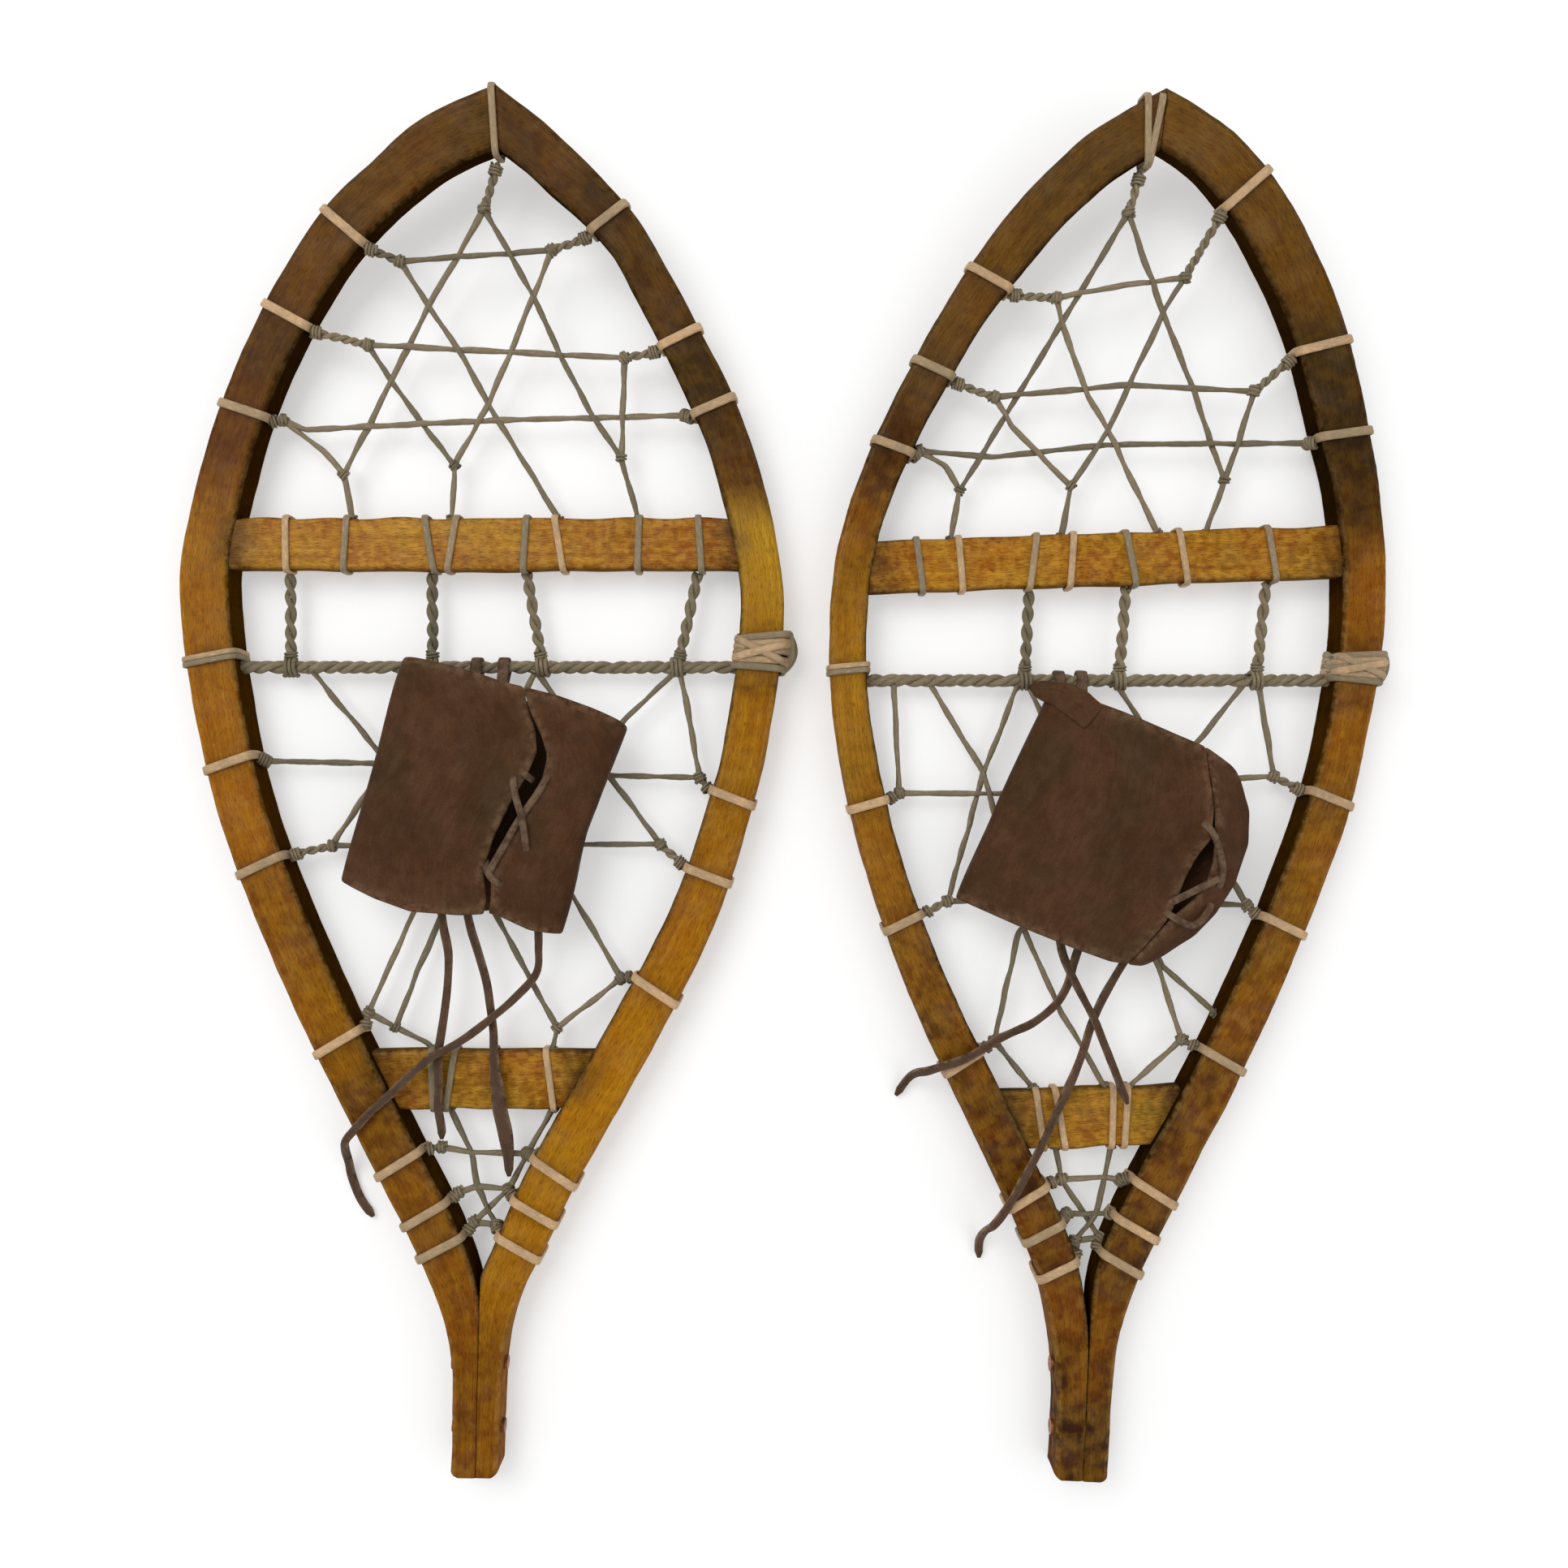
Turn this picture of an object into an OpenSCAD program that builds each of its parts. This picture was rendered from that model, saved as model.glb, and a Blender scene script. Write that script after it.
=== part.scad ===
// A pair of small wooden snowshoes lying flat, toes towards +Y, undersides on z = 0.
// Each shoe: two bent rails mitred and lashed at a pointed, upturned toe and riveted
// side by side in the tail, two crossbars, three rawhide nets, a toe cord that the
// binding turns about, and a rolled leather binding sleeve with its loose thongs.
// A shoe's own frame has its origin at the tail's end: u across, v towards the toe.

/* [Pair] */
// Across, where the left shoe's tail end lies
left_tail_x = -136; // [-150:0.5:-132]
// Across, where the right shoe's tail end lies
right_tail_x = 130.5; // [129:0.5:150]
// Turn of the left shoe, in degrees
left_turn = -1.3; // [-2:0.1:0]
// Turn of the right shoe, in degrees
right_turn = -2.9; // [-3.5:0.1:-2]

/* [Rails] */
// Height of a rail along the body of the shoe
rail_height = 19; // [17:0.5:21]
// Height of a rail at the toe, where it is shaved to bend
tip_height = 15; // [13:0.5:16]
// How far the toe turns up
toe_lift = 28; // [20:1:34]
// Where the toe starts to rise, from the tail's end
lift_start = 395; // [385:1:400]

/* [Crossbars] */
// Width of the toe bar, along the shoe
toe_bar_width = 23; // [21:0.5:24]
// Thickness of the toe bar
toe_bar_thickness = 10; // [8:0.5:10]
// Width of the heel bar, along the shoe
heel_bar_width = 26; // [23:0.5:27]
// Thickness of the heel bar
heel_bar_thickness = 9; // [8:0.5:10]

/* [Lacing] */
// Thickness of the rawhide lace where it wraps wood
lace_thickness = 1.8; // [1.4:0.1:2]
// Width of the rawhide lace where it wraps wood
lace_width = 3.4; // [3:0.1:4]
// Thickness of a stretched strand
strand_diameter = 2.8; // [2.4:0.1:3]
// Thickness of the twisted neck between a wrap and the net
neck_diameter = 3.8; // [3.4:0.1:4]
// Thickness of a doubled stay between the toe bar and the toe cord
stay_diameter = 4.2; // [3.8:0.1:4.4]
// Thickness of the toe cord
toe_cord_diameter = 4.6; // [4.2:0.1:4.8]

/* [Binding] */
// Width of the flattened leather sleeve
sleeve_width = 99; // [96:1:102]
// Length of the sleeve
sleeve_length = 102; // [98:1:104]
// Height of the sleeve as it lies
sleeve_height = 20; // [18:1:22]
// Thickness of the leather
leather_thickness = 2.6; // [2.2:0.1:3]
// Thickness of a loose thong
thong_diameter = 3.6; // [3.2:0.1:3.8]

/* [Hidden] */

// Shoes, and the two sides of a shoe: -1 is towards -u, 1 towards +u.
LEFT = 0;
RIGHT = 1;
TAIL_X = [left_tail_x, right_tail_x];
TAIL_Y = [-298.5, -300];
TURN = [left_turn, right_turn];
shoe_length = 600;

// The outside edge of each rail from the tip to the tail, as [u, v, width of the rail].
MINUS_RAIL = [
    [[0, 600, 23.5], [-26.8, 589.4, 23], [-47.4, 574.9, 21.5],
     [-76.7, 548.5, 20.8], [-103, 509.4, 19.8], [-122.3, 467.7, 19.8],
     [-134.7, 425.3, 20.5], [-139.1, 389, 21.5], [-132.7, 340, 21.4],
     [-117.8, 282.7, 20.8], [-88.4, 212.6, 21], [-52.5, 143, 21],
     [-29.5, 100, 21], [-17, 72, 18], [-12, 50, 14], [-11, 25, 13], [-11, 0, 13]],
    [[0, 600.5, 21], [-18, 590.4, 21], [-37.2, 576.4, 21], [-62.4, 549.1, 20.8],
     [-88.4, 508.2, 18.5], [-114.5, 452, 17], [-127, 410, 16.5],
     [-129.5, 370, 16], [-125, 324, 16], [-110, 268, 16.5], [-87.5, 212, 17.5],
     [-59, 157, 19], [-36.5, 115, 19], [-23.5, 88, 18], [-16, 60, 16],
     [-13, 35, 14], [-12.5, 0, 14]]
];
PLUS_RAIL = [
    [[0, 600, 21], [16.7, 588.9, 20.4], [31.6, 576.8, 19.8], [57.9, 551.6, 18],
     [75, 525.9, 18], [104.3, 472.8, 18.8], [119, 430.3, 19], [126.6, 388, 19],
     [123.5, 345, 19], [116, 303, 19], [99, 245, 20.5], [72, 188, 22],
     [41, 130, 22], [28, 102, 21], [17.5, 80, 19], [11.5, 59, 15], [10, 35, 13],
     [9.5, 0, 13]],
    [[0, 600.5, 22], [17.6, 592.7, 21.5], [36.6, 581.1, 22.5], [60.7, 556, 23.2],
     [83.9, 518, 22.8], [98.8, 477.6, 22], [109.4, 435.3, 19.5],
     [113.7, 386, 18.8], [108.8, 336, 18], [100.6, 293.3, 18.6],
     [81.8, 235.4, 18.8], [59, 177.8, 19.6], [32.8, 119.6, 20.6],
     [20.4, 90.6, 19], [13.8, 68, 15], [11.2, 45, 13], [11, 0, 13]]
];
curve_steps = 4;
ridge = 0.45;
net_z = 9.5;
knot_width = 1.3 * strand_diameter;
knot_height = 1.1 * strand_diameter;
toe_cord_z = net_z;
cord_inset = 0.5;
wrap_play = 0.15;

// Crossbars: v of the middle at u = 0, and the turn, in degrees.
TOE_BAR = [[411, 1.3], [406.5, 4.8]];
HEEL_BAR = [[174, 1.3], [159, 4.8]];
toe_bar_z = 12;
heel_bar_z = 9.5;
tenon_inset = 4;
tenon_thickness = 5;
tenon_play = 0.1;
RIVETS = [20, 48];
rivet_radius = 1.6;
rivet_play = 0.05;
rivet_head_radius = 3.4;
rivet_burr_radius = 3;
rivet_head_height = 1.25;

// Wraps round a rail: [side, v of the outside edge, [u, v] of the knot that its neck ends in].
TOE_HITCHES = [
    [[-1, 551, [-44, 532]], [-1, 512, [-59, 497]], [-1, 470, [-97, 464]],
     [1, 556, [22, 538]], [1, 506, [54, 494]], [1, 477, [81, 470]]],
    [[-1, 528, [-38, 518]], [-1, 488, [-62, 475]], [-1, 453, [-94, 450]],
     [1, 572, [17, 529]], [1, 506, [52, 483]], [1, 468, [78, 462]]]
];
BODY_HITCHES = [
    [[-1, 309, [-102, 313]], [-1, 263, [-72, 276]], [-1, 185, [-54, 202]],
     [1, 299, [91, 310]], [1, 264, [74, 280]], [1, 211, [58, 220]]],
    [[-1, 290, [-95, 298]], [-1, 238, [-71, 251]], [-1, 177, [-47, 190]],
     [1, 303, [71, 314]], [1, 245, [62, 256]], [1, 184, [36, 195]]]
];
TAIL_HITCHES = [
    [[-1, 132, [-20, 143]], [-1, 110, [-12, 123]], [-1, 96, [-5, 110]],
     [1, 130, [18, 141]], [1, 113, [10, 125]], [1, 97, [5, 109]]],
    [[-1, 119, [-14, 130]], [-1, 104, [-11, 115]], [-1, 89, [-7, 103]],
     [1, 124, [12, 131]], [1, 108, [8, 116]], [1, 93, [4, 105]]]
];
TIP_KNOT = [[-7, 554], [-10, 554]];
TIP_LASHING_U = [-1, -6];
tip_wood = 30;
tip_wood_play = 1;

// Strands of the nets, each a row of [u, v] points.
TOE_NET = [
    [[[-7, 554], [-32, 514], [-49, 482], [-70, 441], [-66, 421]],
     [[-7, 554], [14, 519], [26, 494], [38, 472], [53, 451], [61, 424]],
     [[-44, 532], [22, 538]],
     [[22, 538], [14, 519], [4, 496], [-6, 473], [-21, 446], [-22, 422]],
     [[-44, 532], [-32, 514], [-18, 494], [-6, 473], [26, 423]],
     [[-59, 497], [54, 494]],
     [[-59, 497], [-49, 482], [-37, 466], [-21, 446]],
     [[54, 494], [53, 451]],
     [[-97, 464], [-87, 460], [-4, 466], [81, 470]],
     [[-97, 464], [-79, 451], [-70, 441]]],
    [[[-10, 554], [-26, 524], [-35, 508], [-51, 478], [-66, 450], [-75, 434]],
     [[-10, 554], [9, 514], [25, 483], [42, 444], [35, 420]],
     [[-38, 518], [-8, 525], [17, 529]],
     [[17, 529], [9, 514], [-3, 483], [-11, 463], [-26, 438], [-29, 415]],
     [[-38, 518], [-35, 508], [-22, 479], [-11, 463], [14, 419]],
     [[-62, 475], [-33, 479], [-5, 483], [52, 483]],
     [[-62, 475], [-54, 463], [-26, 438]],
     [[52, 483], [46, 458], [42, 444]],
     [[-94, 450], [-61, 449], [-11, 457], [78, 462]],
     [[-94, 450], [-82, 444], [-75, 434], [-78, 411]]]
];
BODY_NET = [
    [[[-84, 355], [-52, 318], [1, 248], [18, 218], [30, 197], [28, 187]],
     [[79, 357], [57, 335], [-23, 246], [-42, 196], [-27, 189], [-25, 186]],
     [[81, 357], [91, 310]],
     [[-102, 313], [-52, 313], [49, 310], [91, 310]],
     [[17, 356], [52, 308], [74, 280]],
     [[-72, 276], [38, 279], [74, 280]],
     [[-72, 276], [-57, 300], [-29, 356]],
     [[-54, 202], [-35, 247], [17, 356]],
     [[-29, 356], [35, 257], [58, 220]],
     [[58, 220], [30, 197]],
     [[-54, 202], [-42, 196]]],
    [[[-100, 348], [-95, 298]],
     [[-85, 349], [-58, 309], [-36, 239], [-18, 204], [-7, 188], [3, 172]],
     [[-44, 351], [-58, 309], [-71, 251]],
     [[-95, 298], [-51, 300], [71, 314]],
     [[-71, 251], [-10, 256], [62, 256]],
     [[-2, 353], [10, 336], [62, 256]],
     [[57, 356], [37, 328], [-39, 239], [-47, 190]],
     [[62, 356], [71, 314]],
     [[-41, 351], [24, 227], [36, 195]],
     [[12, 256], [26, 227], [51, 207]],
     [[-47, 190], [-29, 170]],
     [[36, 195], [13, 172]]]
];
TAIL_NET = [
    [[[-20, 143], [-7, 141], [18, 141]],
     [[-12, 123], [-4, 126], [10, 125]],
     [[-5, 110], [5, 109]],
     [[-17, 161], [-7, 141], [-4, 126], [5, 109]],
     [[29, 162], [18, 141], [10, 125], [-5, 110]]],
    [[[-14, 130], [5, 132], [12, 131]],
     [[-11, 115], [8, 116]],
     [[-7, 103], [4, 105]],
     [[-18, 145], [-14, 130], [-4, 116], [4, 105]],
     [[7, 147], [5, 132], [2, 116], [-7, 103]]]
];

// Wraps round the crossbars, and the stays from the toe bar to the toe cord, by u.
TOE_BAR_WRAPS = [[-93, -67, -30, -20, 12, 27, 62, 89], [-92, -74, -42, -25, 1, 24, 63]];
HEEL_BAR_WRAPS = [[-24, -16, 4, 28], [-26, -17, 6, 12]];
STAYS = [
    [[-93, -92], [-30, -29], [12, 20], [88, 80]],
    [[-42, -42], [1, 0], [63, 61]]
];
stay_wrap_radius = 4;
stay_wrap_width = 6;

// The toe cord lies along X: v of its middle, and the side of its knot is +1.
TOE_CORD_V = [357, 353];
TOE_CORD_RAIL_V = [356, 351];
KNOT_V = [[345, 353, 361, 369], [354, 362, 370]];
knot_breadth = 7;
knot_swell = 2.4;
knot_low_z = 3;
knot_high_z = rail_height - 2;

// Sleeves: middle [u, v], turn, and [u, width, low end, high end] of the laced slit.
SLEEVE_AT = [[-1.5, 298], [-1, 289]];
SLEEVE_TURN = [-15, -20];
SLEEVE_SLIT = [[15, 6, -60, 60], [33, 6, -60, -8]];
sleeve_base_z = 14.5;
mouth_lean = 6;
LACE_CROSSES = [[-28, -14, 0], [-38, -26]];
LACE_REACH = [8, 6];
sleeve_lace_diameter = 2.4;
TIES = [[-9, 3], [-27, -17]];
tie_width = 5;
tie_play = 0.3;
tie_radius = toe_cord_diameter / 2 + 2;
tab_length = 22;
tab_thickness = 2.4;
tab_bite = 0.4;

// Loose thongs as [u, v, z] points from the sleeve's mouth, a ring at each point.
LEFT_LONG_THONG = [
    [22, 244, 18.5], [22, 234, 16], [21, 222, 14.4], [12, 211, 16.5], [2, 202, 19.4],
    [-8, 194, 19.6], [-16, 189, 21.8], [-22, 186, 22.3], [-31, 178, 21.6],
    [-40, 169, 21.6], [-49, 160.5, 21.6], [-55, 153.5, 21.6], [-59.5, 148, 20.4],
    [-62, 142, 13], [-62.5, 134, 5.5], [-62, 127, 2.3], [-58, 117, 1.9], [-52, 109, 1.9]];
LEFT_WIDE_THONG = [
    [-10, 252, 18.5], [-8, 241, 15.8], [-5, 231, 14.4], [-1, 218, 14.4], [1, 207, 14.5],
    [3, 196, 16], [4, 186, 18.5], [5.5, 174, 18.6], [7, 163, 18.4], [9, 152, 15.6],
    [10.5, 141, 14.4], [11, 132, 14.2]];
LEFT_SHORT_THONG = [
    [-21, 252, 18.5], [-20, 241, 15.8], [-18, 230, 14.4], [-18, 217, 14.4],
    [-19, 205, 14.4], [-20, 195, 15.6], [-20.5, 186, 18.3], [-20, 174, 18.6],
    [-20, 163, 18.4], [-19, 153, 15.6], [-19, 148, 14.6]];
RIGHT_LONG_THONG = [
    [8, 232, 18.5], [3, 221, 15.6], [-2, 210, 14.4], [-6, 199, 14.8], [-9, 190, 17.6],
    [-13, 179, 19.3], [-17, 169, 19.3], [-21, 159, 19.3], [-25, 150, 21.2],
    [-29, 142, 22.6], [-34, 132, 23.2], [-39.5, 121, 23.2], [-45, 112, 21.4], [-47.5, 106, 12],
    [-48.5, 99, 4], [-48, 91, 1.9]];
RIGHT_SIDE_THONG = [
    [-13, 237, 18.5], [-15, 227, 15.6], [-17, 217, 14.4], [-22, 208, 14.4],
    [-31, 200, 14.8], [-40, 196, 17.8], [-48, 193, 22.6], [-56, 187.5, 23.4],
    [-64, 183, 23.4], [-72, 180, 23.3], [-77.5, 177.5, 21.4], [-81.5, 174.5, 12],
    [-84.5, 170, 4.5], [-89, 162, 1.9]];
RIGHT_SHORT_THONG = [
    [-23, 241, 18.5], [-20, 231, 15.6], [-16, 222, 17], [-11, 213, 18.5], [-5, 203, 17.4],
    [0, 193, 15], [4, 184, 15.6], [8, 174, 18.6], [11, 167, 18.6]];

WOOD = [0.66, 0.45, 0.13];
BAR_WOOD = [0.72, 0.55, 0.2];
RAWHIDE = [0.74, 0.66, 0.52];
LEATHER = [0.3, 0.19, 0.12];
THONG = [0.27, 0.2, 0.16];
COPPER = [0.6, 0.36, 0.2];
far = 800;
groove_reach = 30;

// How far the underside has risen at v, its slope, and the rail's height there.
function rise(v) = v <= lift_start ? 0
    : toe_lift * pow((v - lift_start) / (shoe_length - lift_start), 2);
function slope(v) = v <= lift_start ? 0
    : 2 * toe_lift * (v - lift_start) / pow(shoe_length - lift_start, 2);
function height(v) = v <= lift_start ? rail_height
    : rail_height - (rail_height - tip_height) * (v - lift_start) / (shoe_length - lift_start);

// A smooth curve through points: Catmull-Rom cubics, n steps for each stretch.
function blend4(a, b, c, d, t) =
    0.5 * (2 * b + (c - a) * t + (2 * a - 5 * b + 4 * c - d) * t * t
        + (3 * b - a - 3 * c + d) * t * t * t);
function smooth(p, n) = [
    for (i = [0 : len(p) - 2], k = [0 : n - 1])
        blend4(p[max(i - 1, 0)], p[i], p[i + 1], p[min(i + 2, len(p) - 1)], k / n),
    p[len(p) - 1]];
function unit(a) = a / norm(a);
function flat(p) = [p[0], p[1]];

// The outside edge of a rail, its direction there, and its inside edge.
function stations(s, side) = side < 0 ? MINUS_RAIL[s] : PLUS_RAIL[s];
function edge(s, side) = smooth(stations(s, side), curve_steps);
function heading(p, i) =
    unit(flat(p[min(i + 1, len(p) - 1)]) - flat(p[max(i - 1, 0)]));
function inward(d, side) = side < 0 ? [-d[1], d[0]] : [d[1], -d[0]];
function outline(s, side) = let (p = edge(s, side)) concat(
    [for (q = p) flat(q)],
    [for (j = [0 : len(p) - 1]) let (i = len(p) - 1 - j)
        flat(p[i]) + p[i][2] * inward(heading(p, i), side)]);
function edge_u(s, side, v) = lookup(v, [for (q = edge(s, side)) [q[1], q[0]]]);
function width(s, side, v) = lookup(v, [for (q = edge(s, side)) [q[1], q[2]]]);
// At the station v of the outside edge: the unit vector across the rail, towards its inside.
function across(s, side, v) =
    inward(unit([edge_u(s, side, v - 3) - edge_u(s, side, v + 3), -6]), side);
function middle(s, side, v) =
    [edge_u(s, side, v), v] + width(s, side, v) / 2 * across(s, side, v);
// How far along u the middle of a rail is, at the v of that middle.
function middle_u(s, side, v) =
    edge_u(s, side, v) - side * width(s, side, v) / 2 / abs(across(s, side, v)[0]);
function net_point(p, lift = 0) = [p[0], p[1], rise(p[1]) + net_z + lift];

module place(s) translate([TAIL_X[s], TAIL_Y[s], 0]) rotate([0, 0, TURN[s]]) children();

// A straight eight-sided strand between two points.
module strand(a, b, d) {
    span = b - a;
    translate(a)
        rotate([0, acos(span[2] / norm(span)), atan2(span[1], span[0])])
            cylinder(h = norm(span), d = d, $fn = 8);
}

// A net: strands through their points with a small knot at each. The strands pass over and
// under each other, each at its own height.
module net(rows) {
    for (i = [0 : len(rows) - 1]) {
        lift = (i % 2 == 0 ? -1 : 1) * ridge * (i + 1) / len(rows);
        for (k = [0 : len(rows[i]) - 2])
            strand(net_point(rows[i][k], lift), net_point(rows[i][k + 1], lift),
                strand_diameter);
        for (p = rows[i])
            translate(net_point(p, lift))
                cylinder(h = knot_height, d = knot_width, center = true, $fn = 8);
    }
}

// A lace ring round a box of a by b, along x and z, standing on z = 0 with its base sunk.
module ring(a, b, thickness, breadth) {
    difference() {
        translate([-a / 2 - thickness, -breadth / 2, 0])
            cube([a + 2 * thickness, breadth, b + thickness]);
        translate([-a / 2, -breadth, thickness]) cube([a, 2 * breadth, b - thickness]);
    }
}

// The frame of a wrap at the station v of a rail: x across towards the inside, z up.
module at_rail(s, side, v) {
    n = across(s, side, v);
    m = middle(s, side, v);
    translate([m[0], m[1], rise(m[1])])
        rotate([atan(slope(m[1])), 0, 0])
            rotate([0, 0, atan2(n[1], n[0])])
                children();
}

module rail_ring(s, side, v, thickness, breadth) {
    m = middle(s, side, v);
    at_rail(s, side, v)
        translate([0, 0, wrap_play])
            ring(width(s, side, v) + 4 * wrap_play, height(m[1]), thickness, breadth);
}

// The groove in a rail's underside that a wrap lies in.
module groove(s, side, v, thickness, breadth) {
    at_rail(s, side, v)
        translate([-groove_reach, -breadth / 2 - wrap_play, -groove_reach])
            cube([2 * groove_reach, breadth + 2 * wrap_play,
                  groove_reach + thickness + 2 * wrap_play]);
}

// A wrap with its twisted neck out to the knot of the net.
module hitch(s, side, v, knot) {
    m = middle(s, side, v);
    n = across(s, side, v);
    start = m + (width(s, side, v) / 2 + lace_thickness / 2 + wrap_play) * n;
    rail_ring(s, side, v, lace_thickness, lace_width);
    strand([start[0], start[1], rise(m[1]) + net_z], net_point(knot), neck_diameter);
}

module hitches(s, list) for (h = list[s]) hitch(s, h[0], h[1], h[2]);
module grooves(s, side, list)
    for (h = list[s])
        if (h[0] == side) groove(s, side, h[1], lace_thickness, lace_width);

// The side view of a rail, its underside and top, swept right across the shoe.
module side_band() {
    vs = [for (v = [lift_start : 8 : shoe_length + 20]) v];
    profile = concat([[-10, 0]], [for (v = vs) [v, rise(v)]],
        [for (i = [0 : len(vs) - 1]) let (v = vs[len(vs) - 1 - i]) [v, rise(v) + height(v)]],
        [[-10, rail_height]]);
    translate([-far / 2, 0, 0])
        rotate([90, 0, 90])
            linear_extrude(height = far) polygon(profile);
}

module plan(s, side) translate([0, 0, -5]) linear_extrude(height = 80) polygon(outline(s, side));

// The tenon of a bar, from the middle of one rail to that of the other.
module tenon(s, bar, bar_width, z, play) {
    low = middle_u(s, -1, bar[0]);
    high = middle_u(s, 1, bar[0]);
    translate([0, bar[0], z])
        rotate([0, 0, bar[1]])
            translate([low - play, -bar_width / 2 + tenon_inset - play,
                       -tenon_thickness / 2 - play])
                cube([high - low + 2 * play, bar_width - 2 * tenon_inset + 2 * play,
                      tenon_thickness + 2 * play]);
}

module tenons(s, play) {
    tenon(s, TOE_BAR[s], toe_bar_width, toe_bar_z, play);
    tenon(s, HEEL_BAR[s], heel_bar_width, heel_bar_z, play);
}

module rivet_holes(radius)
    for (v = RIVETS)
        translate([-20, v, rail_height / 2]) rotate([0, 90, 0]) cylinder(h = 40, r = radius, $fn = 48);

module rail(s, side) {
    color(WOOD)
        place(s)
            difference() {
                intersection() {
                    plan(s, side);
                    side_band();
                    translate([side < 0 ? -far : 0, -10, -5]) cube([far, far, 100]);
                }
                tenons(s, tenon_play);
                rivet_holes(rivet_radius + rivet_play);
                grooves(s, side, TOE_HITCHES);
                grooves(s, side, BODY_HITCHES);
                grooves(s, side, TAIL_HITCHES);
                if (side < 0)
                    groove(s, side, TOE_CORD_RAIL_V[s], lace_thickness, toe_cord_diameter);
                else
                    for (v = KNOT_V[s]) groove(s, side, v, lace_thickness, knot_breadth);
            }
}

// A bar with shoulders against both rails and a tenon into each.
module bar(s, at, bar_width, thickness, z) {
    low = middle_u(s, -1, at[0]);
    high = middle_u(s, 1, at[0]);
    color(BAR_WOOD)
        place(s)
            union() {
                difference() {
                    translate([0, at[0], z])
                        rotate([0, 0, at[1]])
                            translate([low, -bar_width / 2, -thickness / 2])
                                cube([high - low, bar_width, thickness]);
                    plan(s, -1);
                    plan(s, 1);
                }
                tenon(s, at, bar_width, z, 0);
            }
}

module toe_bar(s) bar(s, TOE_BAR[s], toe_bar_width, toe_bar_thickness, toe_bar_z);
module heel_bar(s) bar(s, HEEL_BAR[s], heel_bar_width, heel_bar_thickness, heel_bar_z);

// Rivets through both rails of the tail, with a head on one side and a burr on the other.
module tail_rivets(s) {
    color(COPPER)
        place(s)
            for (v = RIVETS) {
                low = edge_u(s, -1, v) - rivet_play;
                high = edge_u(s, 1, v) + rivet_play;
                translate([low, v, rail_height / 2])
                    rotate([0, 90, 0]) {
                        translate([0, 0, -rivet_head_height / 2])
                            cylinder(h = high - low + rivet_head_height, r = rivet_radius,
                                $fn = 48);
                        translate([0, 0, -rivet_head_height])
                            cylinder(h = rivet_head_height, r = rivet_head_radius, $fn = 48);
                        translate([0, 0, high - low])
                            cylinder(h = rivet_head_height, r = rivet_burr_radius, $fn = 48);
                    }
            }
}

// The lashing that goes over the tip and through the point of the toe, and its neck.
module tip_lashing(s) {
    v = shoe_length + tip_wood_play - tip_wood / 2;
    u = TIP_LASHING_U[s];
    inside = v - tip_wood / 2 - lace_thickness / 2;
    color(RAWHIDE)
        place(s) {
            translate([u, v, rise(v) - lace_thickness - tip_wood_play])
                rotate([atan(slope(v)), 0, 0])
                    rotate([0, 0, 90])
                        ring(tip_wood, height(v) + lace_thickness + 2 * tip_wood_play,
                            lace_thickness, lace_width);
            strand([u, inside, rise(inside) + height(inside) / 2],
                net_point(TIP_KNOT[s]), neck_diameter);
        }
}

module toe_lacing(s) color(RAWHIDE) place(s) net(TOE_NET[s]);
module body_lacing(s) color(RAWHIDE) place(s) net(BODY_NET[s]);
module tail_lacing(s) color(RAWHIDE) place(s) net(TAIL_NET[s]);
module toe_hitches(s) color(RAWHIDE) place(s) hitches(s, TOE_HITCHES);
module body_hitches(s) color(RAWHIDE) place(s) hitches(s, BODY_HITCHES);
module tail_hitches(s) color(RAWHIDE) place(s) hitches(s, TAIL_HITCHES);

module bar_wraps(s, at, places, bar_width, thickness, z) {
    color(RAWHIDE)
        place(s)
            translate([0, at[0], z])
                rotate([0, 0, at[1]])
                    for (u = places)
                        translate([u, 0, -thickness / 2 - lace_thickness - wrap_play])
                            rotate([0, 0, 90])
                                ring(bar_width + 2 * wrap_play,
                                    thickness + lace_thickness + 2 * wrap_play,
                                    lace_thickness, lace_width);
}

module toe_bar_wraps(s)
    bar_wraps(s, TOE_BAR[s], TOE_BAR_WRAPS[s], toe_bar_width, toe_bar_thickness, toe_bar_z);
module heel_bar_wraps(s)
    bar_wraps(s, HEEL_BAR[s], HEEL_BAR_WRAPS[s], heel_bar_width, heel_bar_thickness, heel_bar_z);

// The frame of the toe cord: x along it, level with the pair's X.
module at_toe_cord(s)
    translate([0, TOE_CORD_V[s], toe_cord_z]) rotate([0, 0, -TURN[s]]) children();

module toe_cord_rod(s, radius) {
    low = middle_u(s, -1, TOE_CORD_V[s]) + width(s, -1, TOE_CORD_V[s]) / 2;
    high = middle_u(s, 1, TOE_CORD_V[s]) - width(s, 1, TOE_CORD_V[s]) / 2;
    at_toe_cord(s)
        translate([low + cord_inset, 0, 0])
            rotate([0, 90, 0])
                cylinder(h = high - low - 2 * cord_inset, r = radius, $fn = 48);
}

// The toe cord, wrapped round the rail at its plain end.
module toe_cord(s) {
    color(RAWHIDE)
        place(s)
            union() {
                toe_cord_rod(s, toe_cord_diameter / 2);
                rail_ring(s, -1, TOE_CORD_RAIL_V[s], lace_thickness, toe_cord_diameter);
            }
}

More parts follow.
